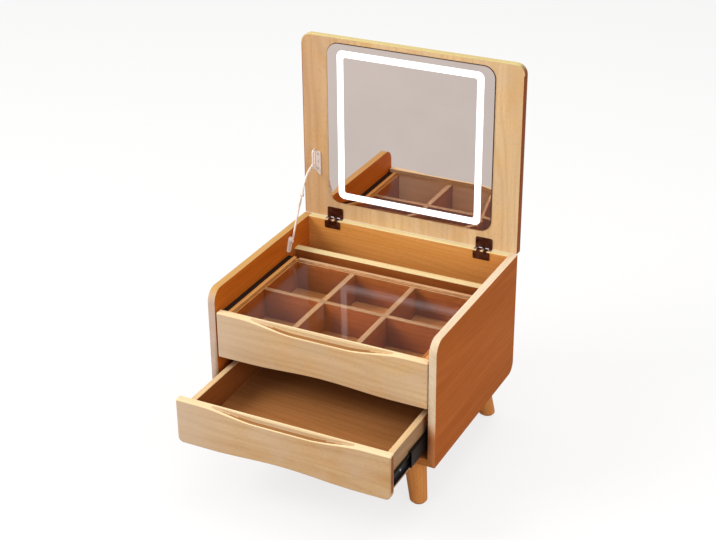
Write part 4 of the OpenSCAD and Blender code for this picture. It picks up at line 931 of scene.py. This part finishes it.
lid_leaves, case_leaves = bmesh.new(), bmesh.new()
finger_z = AXIS_Z + LID_FINGER
for middle in (-HINGE_X, HINGE_X):
    left, right = middle - HINGE_W / 2, middle + HINGE_W / 2
    # on the lid: three fingers run up into one plate, coined thin between them
    outline = []
    for i in (0, 2, 4):
        x = middle + knuckles[i]
        outline += [(x, AXIS_Z, 0), (x + KNUCKLE_W, AXIS_Z, 0)]
        if i < 4:
            outline += [(x + KNUCKLE_W, finger_z, 0.8), (middle + knuckles[i + 2], finger_z, 0.8)]
        barrel(lid_leaves, x)
    outline += [(right, AXIS_Z + LID_LEAF, 3), (left, AXIS_Z + LID_LEAF, 3)]
    prism(lid_leaves, rounded(outline, 4), "y", LID_Y0 - LEAF_T, LID_Y0)
    # on the case: a plate on the inner face, bent over the panel's edge
    plate = oblong(left, right, CASE_H - CASE_LEAF, CASE_H - 2, 3, 3, 0.8, 0.8, steps=4)
    prism(case_leaves, plate, "y", BACK_Y - LEAF_T, BACK_Y)
    strip = rounded([(BACK_Y - LEAF_T, CASE_H - 3, 0), (BACK_Y - LEAF_T, CASE_H + LEAF_T, 1.4),
                     (AXIS_Y - 1.5, CASE_H + LEAF_T, 0), (AXIS_Y - 1.5, CASE_H, 0), (BACK_Y, CASE_H, 0),
                     (BACK_Y, CASE_H - 3, 0)], 5)
    for i in (1, 3):
        x = middle + knuckles[i]
        web = oblong(x - KNUCKLE_GAP, x + KNUCKLE_W + KNUCKLE_GAP, LID_Z0 + 0.1, finger_z)
        prism(lid_leaves, web, "y", LID_Y0 - WEB_T, LID_Y0)
        prism(case_leaves, strip, "x", x, x + KNUCKLE_W)
        barrel(case_leaves, x)
pin_line = put(0, AXIS_Y, AXIS_Z)
for body, leaves in (("lid", lid_leaves), ("case", case_leaves)):
    for face in leaves.faces:
        centre = face.calc_center_median()
        rolled = hypot(centre.y - pin_line.y, centre.z - pin_line.z) < (KNUCKLE_R + 0.1) * MM
        face.material_index = 0 if rolled else 1
    make_piece(f"hinge_leaves_on_{body}", leaves, [painted_highlight, bronze], body, f"hinge_leaves_{body}",
               "bronze_steel", 0.25)
finish_nodes(bronze, "hinge_pins")

# ---- Lid stay -----------------------------------------------------------------
# Two die cast arms and two plates, powder coated cream. The lower arm turns on
# the plate on the left side panel; the upper arm's pin runs in the lid bracket.

cream, tree, shader = start_material("cream powder coated steel")
# powder coat: fine orange peel, satin, worn a little pinker at the pivots, drawn as pinker patches all over
place = add(tree, "TexCoord").outputs["Object"]
wear = add(tree, "TexNoise", {"Vector": place, "Scale": 40.0, "Detail": 2.0})
tone = add(tree, "Mix", {0: wear, 6: linear("#F4EAE2"), 7: linear("#E6D3C8")}, data_type="RGBA")
peel = add(tree, "TexNoise", {"Vector": place, "Scale": 1100.0, "Detail": 2.0})
peel = add(tree, "Bump", {"Strength": 0.3, "Distance": 0.0002, "Height": peel})
feed(shader, {"Base Color": tone, "Roughness": 0.38, "Normal": peel})

PLATE_T, ARM_T, ARM_GAP, ARM_HALF, ELBOW_HALF, STAY_PIN_R = 2.0, 2.5, 0.3, 2.4, 4.15, 1.6
LOWER, UPPER, BULGE, EYE, LEAN = 98.0, 66.0, 10.5, 4.2, radians(20)
base_pt, pin_pt = Vector((AXIS_Y - 92.0, AXIS_Z - 19.0)), Vector((LID_Y0 - 8.5, AXIS_Z + 117.0))
PLATE_X = PLATE_T - IN_W
LOWER_X = PLATE_X + 2.8
UPPER_X = LOWER_X + ARM_T + ARM_GAP
EAR_X = UPPER_X + ARM_T + ARM_GAP


def square_to(v):
    """A direction turned left by a right angle."""
    return Vector((-v.y, v.x))


# the elbow lies where the two arms' lengths meet
reach = pin_pt - base_pt
toward = reach.normalized()
foot = (LOWER**2 - UPPER**2 + reach.length_squared) / (2 * reach.length)
elbow_pt = base_pt + foot * toward + sqrt(LOWER**2 - foot**2) * square_to(toward)


def bar(path, half, eyes):
    """The outline of a flat bar along a path, with a round eye at each end; half
    gives its half width at each point."""
    sides = []
    for sign in (1, -1):
        side = []
        for i, p in enumerate(path):
            ahead = (path[min(i + 1, len(path) - 1)] - path[max(i - 1, 0)]).normalized()
            side.append(p + sign * half(i) * square_to(ahead))
        sides.append([p for p in side if all((p - path[end]).length > eyes[end] + 0.01 for end in (0, -1))])
    left, right = sides
    outline = []
    for run, end, across_end in ((left, -1, right[-1]), (right[::-1], 0, left[0])):
        centre, r = path[end], eyes[end]
        start, stop = (p - centre for p in (run[-1], across_end))
        a, b = atan2(start.y, start.x), atan2(stop.y, stop.x)
        b -= 2 * pi * (b > a)
        turns = [a + (b - a) * k / 16 for k in range(17)]
        outline += run + [centre + r * Vector((cos(t), sin(t))) for t in turns]
    return [tuple(p) for p in outline]


def pivot(bm, x0, x1, place):
    """A riveted pin along x, with its far end eased."""
    tip_r = STAY_PIN_R - 0.4
    turned(bm, *place, [(x0, STAY_PIN_R), (x1 - 0.4, STAY_PIN_R), (x1, tip_r), (x1, tip_r / 2)], 28)


# plate on the side panel, with a boss that flares into it
bm = bmesh.new()
plate = [(base_pt.x + u * cos(LEAN) + v * sin(LEAN), base_pt.y - u * sin(LEAN) + v * cos(LEAN))
         for u, v in oblong(-8.5, 8.5, -25, 8.5, 6)]
prism(bm, plate, "x", -IN_W, PLATE_X)
flare = [(PLATE_X - 0.2, 7.6), (PLATE_X + 0.3, 6.8), (PLATE_X + 1.0, 6.2), (LOWER_X - ARM_GAP, 6.0)]
turned(bm, *base_pt, flare, 28)
pivot(bm, LOWER_X - ARM_GAP - 0.5, LOWER_X + ARM_T, base_pt)
make_piece("stay_plate", bm, [cream], "case", "stay_base", "cream_steel", 0.5)

# straight lower arm, broader where it is folded to the elbow's knuckle
steps = [0.0, 6.0, 20.0, 40.0, 60.0, LOWER - 26, LOWER - 22, LOWER - 12, LOWER]
ahead = (elbow_pt - base_pt).normalized()
path = [base_pt + ahead * s for s in steps]
bm = bmesh.new()
prism(bm, bar(path, lambda i: ARM_HALF if i < 6 else ELBOW_HALF, [EYE, EYE]), "x", LOWER_X, LOWER_X + ARM_T)
pivot(bm, LOWER_X + 0.2, UPPER_X + ARM_T, elbow_pt)
make_piece("stay_straight_arm", bm, [cream], "stay_lower", "stay_lower_arm", "cream_steel", 0.7)

# curved upper arm
radius = (UPPER**2 / 4 + BULGE**2) / (2 * BULGE)
ahead = (pin_pt - elbow_pt).normalized()
spread = acos((radius - BULGE) / radius)
path = [elbow_pt + ahead * (UPPER / 2 + radius * sin(a)) + square_to(ahead) * (BULGE - radius + radius * cos(a))
        for a in [spread * (k / 10 - 1) for k in range(21)]]
bm = bmesh.new()
prism(bm, bar(path, lambda i: ARM_HALF, [EYE, EYE - 0.4]), "x", UPPER_X, UPPER_X + ARM_T)
pivot(bm, UPPER_X + 0.2, EAR_X + ARM_T, pin_pt)
make_piece("stay_curved_arm", bm, [cream], "stay_upper", "stay_upper_arm", "cream_steel", 0.7)

# bracket on the lid: a flange that narrows to a tip, and an ear with the pin's slot
SLOT_Y, SLOT_HALF, SLOT_R, SLOT_RUN, EAR_HALF, EAR_R = LID_Y0 - 7.4, 3.2, 3.19, 29.0, 5.8, 5.7
FLANGE_W, FLANGE_LOW, FLANGE_HIGH, TIP_R = ARM_T + 12.0, 20.0, 32.0, 2.5
bm, slot = bmesh.new(), bmesh.new()
ear = oblong(SLOT_Y - EAR_HALF, LID_Y0, pin_pt.y - 2 - EAR_HALF, pin_pt.y + SLOT_RUN + 1 + EAR_HALF,
             EAR_R, 3, 3, EAR_R, steps=10)
prism(bm, ear, "x", EAR_X, EAR_X + ARM_T)
opening = oblong(SLOT_Y - SLOT_HALF, SLOT_Y + SLOT_HALF, pin_pt.y - 0.6 - SLOT_HALF,
                 pin_pt.y + SLOT_RUN + 0.6 + SLOT_HALF, SLOT_R)
prism(slot, opening, "x", EAR_X - 1, EAR_X + ARM_T + 1)
for each in (bm, slot):
    bmesh.ops.recalc_face_normals(each, faces=each.faces)
bm = cut(bm, slot)
tip_z, high_z, right = pin_pt.y - FLANGE_LOW, pin_pt.y + FLANGE_HIGH, EAR_X + FLANGE_W
flange = rounded([(EAR_X, pin_pt.y - 8, 0.5), (right - 3.5, tip_z, TIP_R), (right, tip_z, 1.5),
                  (right, high_z, 6), (EAR_X, high_z, 2)], 8)
prism(bm, flange, "y", LID_Y0 - PLATE_T, LID_Y0)
make_piece("stay_bracket", bm, [cream], "lid", "stay_lid_bracket", "cream_steel", 0.5)

# ---- Wood screws --------------------------------------------------------------
# Countersunk screws with a cross: bronze ones through the hinge leaves, and zinc
# plated ones through the plates of the stay, drawn up flush.

sunk = screw(False)
leaf_holes = [m + d for m in (-HINGE_X, HINGE_X) for d in (-11.0, 11.0)]
plate_holes = [(PLATE_X, base_pt.x - d * sin(LEAN), base_pt.y - d * cos(LEAN)) for d in (10.8, 18.6)]
flange_holes = [(EAR_X + ARM_T + u, LID_Y0 - PLATE_T, pin_pt.y + v)
                for u, v in ((6.5, -7.0), (7.0, 9.0), (6.5, 25.0))]
bm = bmesh.new()
drive(bm, sunk, [(x, BACK_Y - LEAF_T, CASE_H - CASE_LEAF + 5) for x in leaf_holes], "-y")
drive(bm, sunk, plate_holes, "+x", 1)
make_piece("wood_screws_on_case", bm, [bronze, zinc], "case", "wood_screws_case", "bronze_steel")
bm = bmesh.new()
drive(bm, sunk, [(x, LID_Y0 - LEAF_T, AXIS_Z + LID_LEAF - 7) for x in leaf_holes], "-y")
drive(bm, sunk, flange_holes, "-y", 1)
make_piece("wood_screws_on_lid", bm, [bronze, zinc], "lid", "wood_screws_lid", "bronze_steel")

# ---- Floor, light and camera --------------------------------------------------
# A white floor that runs into a white studio, three large soft lamps from the
# left, the top and the right, and the camera where the photograph was taken from.

WHITE = (1.0, 1.0, 1.0, 1.0)
FLOOR_HALF = 15
floor_mesh = bpy.data.meshes.new("studio_floor")
corners = [(u * FLOOR_HALF, v * FLOOR_HALF, 0) for u, v in ((-1, -1), (1, -1), (1, 1), (-1, 1))]
floor_mesh.from_pydata(corners, [], [(0, 1, 2, 3)])
floor = bpy.data.objects.new("studio_floor", floor_mesh)
bpy.context.scene.collection.objects.link(floor)


def looked_at(tree, ray):
    """1 for what the camera sees, straight, in a mirror or through glass."""
    seen = {0: ray.outputs["Is Camera Ray"], 1: ray.outputs["Is Glossy Ray"]}
    seen = {0: add(tree, "Math", seen, operation="MAXIMUM"), 1: ray.outputs["Is Transmission Ray"]}
    return add(tree, "Math", seen, operation="MAXIMUM")


white_floor, tree, shader = start_material("white studio floor")
place = add(tree, "TexCoord").outputs["Object"]
paper = add(tree, "TexNoise", {"Vector": place, "Scale": 40.0, "Detail": 3.0})
tone = add(tree, "Mix", {0: paper, 6: linear("#F4F3F2"), 7: linear("#F8F7F6")}, data_type="RGBA")
# the light that the paper throws back up is that of a grey floor
ray = add(tree, "LightPath")
tone = {0: ray.outputs["Is Diffuse Ray"], 6: tone, 7: linear("#C4C0BC")}
tone = add(tree, "Mix", tone, data_type="RGBA")
feed(shader, {"Base Color": tone, "Roughness": 0.9, "Specular IOR Level": 0.1})
seen = add(tree, "Math", {0: looked_at(tree, ray), 1: 0.76}, operation="MULTIPLY")
glow = add(tree, "Math", {0: ray.outputs["Is Glossy Ray"], 1: -0.45, 2: 1.0}, operation="MULTIPLY_ADD")
lift = add(tree, "Emission", {"Color": WHITE, "Strength": glow})
both = add(tree, "MixShader", {0: seen, 1: shader, 2: lift})
feed(tree.nodes["Material Output"], {"Surface": both})
floor_mesh.materials.append(white_floor)

world = bpy.data.worlds.new("studio")
bpy.context.scene.world = world
world.use_nodes = True
tree = world.node_tree
ray = add(tree, "LightPath")
level = add(tree, "MapRange", {"Value": looked_at(tree, ray), 1: 0.0, 2: 1.0, 3: 0.5, 4: 1.0})
level = {0: ray.outputs["Is Glossy Ray"], 1: -0.4, 2: level}
level = add(tree, "Math", level, operation="MULTIPLY_ADD")
feed(tree.nodes["Background"], {"Strength": level, "Color": WHITE})


def stand(name, data):
    """An object in the scene that holds a lamp or the camera."""
    holder = bpy.data.objects.new(name, data)
    bpy.context.scene.collection.objects.link(holder)
    return holder


def lamp(name, place, aim_z, size, power, colour):
    """A square soft lamp at a place, aimed at a height over the frame's origin."""
    light = bpy.data.lights.new(name, "AREA")
    light.size, light.energy, light.color = size, power, colour
    holder = stand(name, light)
    holder.location = place
    holder.rotation_euler = (Vector((0, 0, aim_z)) - Vector(place)).to_track_quat("-Z", "Y").to_euler()


lamp("key_lamp", (-3.0, -2.2, 2.9), 0.35, 2.2, 150, (1.0, 0.975, 0.95))
lamp("top_lamp", (0.4, 0.6, 3.2), 0.3, 2.4, 38, (1.0, 0.98, 0.96))
lamp("fill_lamp", (2.9, -1.8, 1.6), 0.3, 2.0, 36, (1.0, 0.97, 0.94))

AZIMUTH, ELEVATION, ROLL = radians(26.77), radians(27.02), radians(-0.556)
CAMERA_AT, LENS, FILM_W = (1.1715, -2.28405, 1.7148), 76.04, 36.0
camera = bpy.data.cameras.new("photo_camera")
camera.lens, camera.sensor_width, camera.sensor_fit = LENS, FILM_W, "HORIZONTAL"
camera.clip_end = 60
back = Vector((sin(AZIMUTH) * cos(ELEVATION), -cos(AZIMUTH) * cos(ELEVATION), sin(ELEVATION)))
right = (-back).cross(Vector((0, 0, 1))).normalized()
up = right.cross(-back)
rolled = (cos(ROLL) * right + sin(ROLL) * up, -sin(ROLL) * right + cos(ROLL) * up, back)
holder = stand("photo_camera", camera)
holder.matrix_world = Matrix.Translation(CAMERA_AT) @ Matrix(rolled).transposed().to_4x4()
bpy.context.scene.camera = holder
bpy.context.scene.view_settings.view_transform = "Standard"
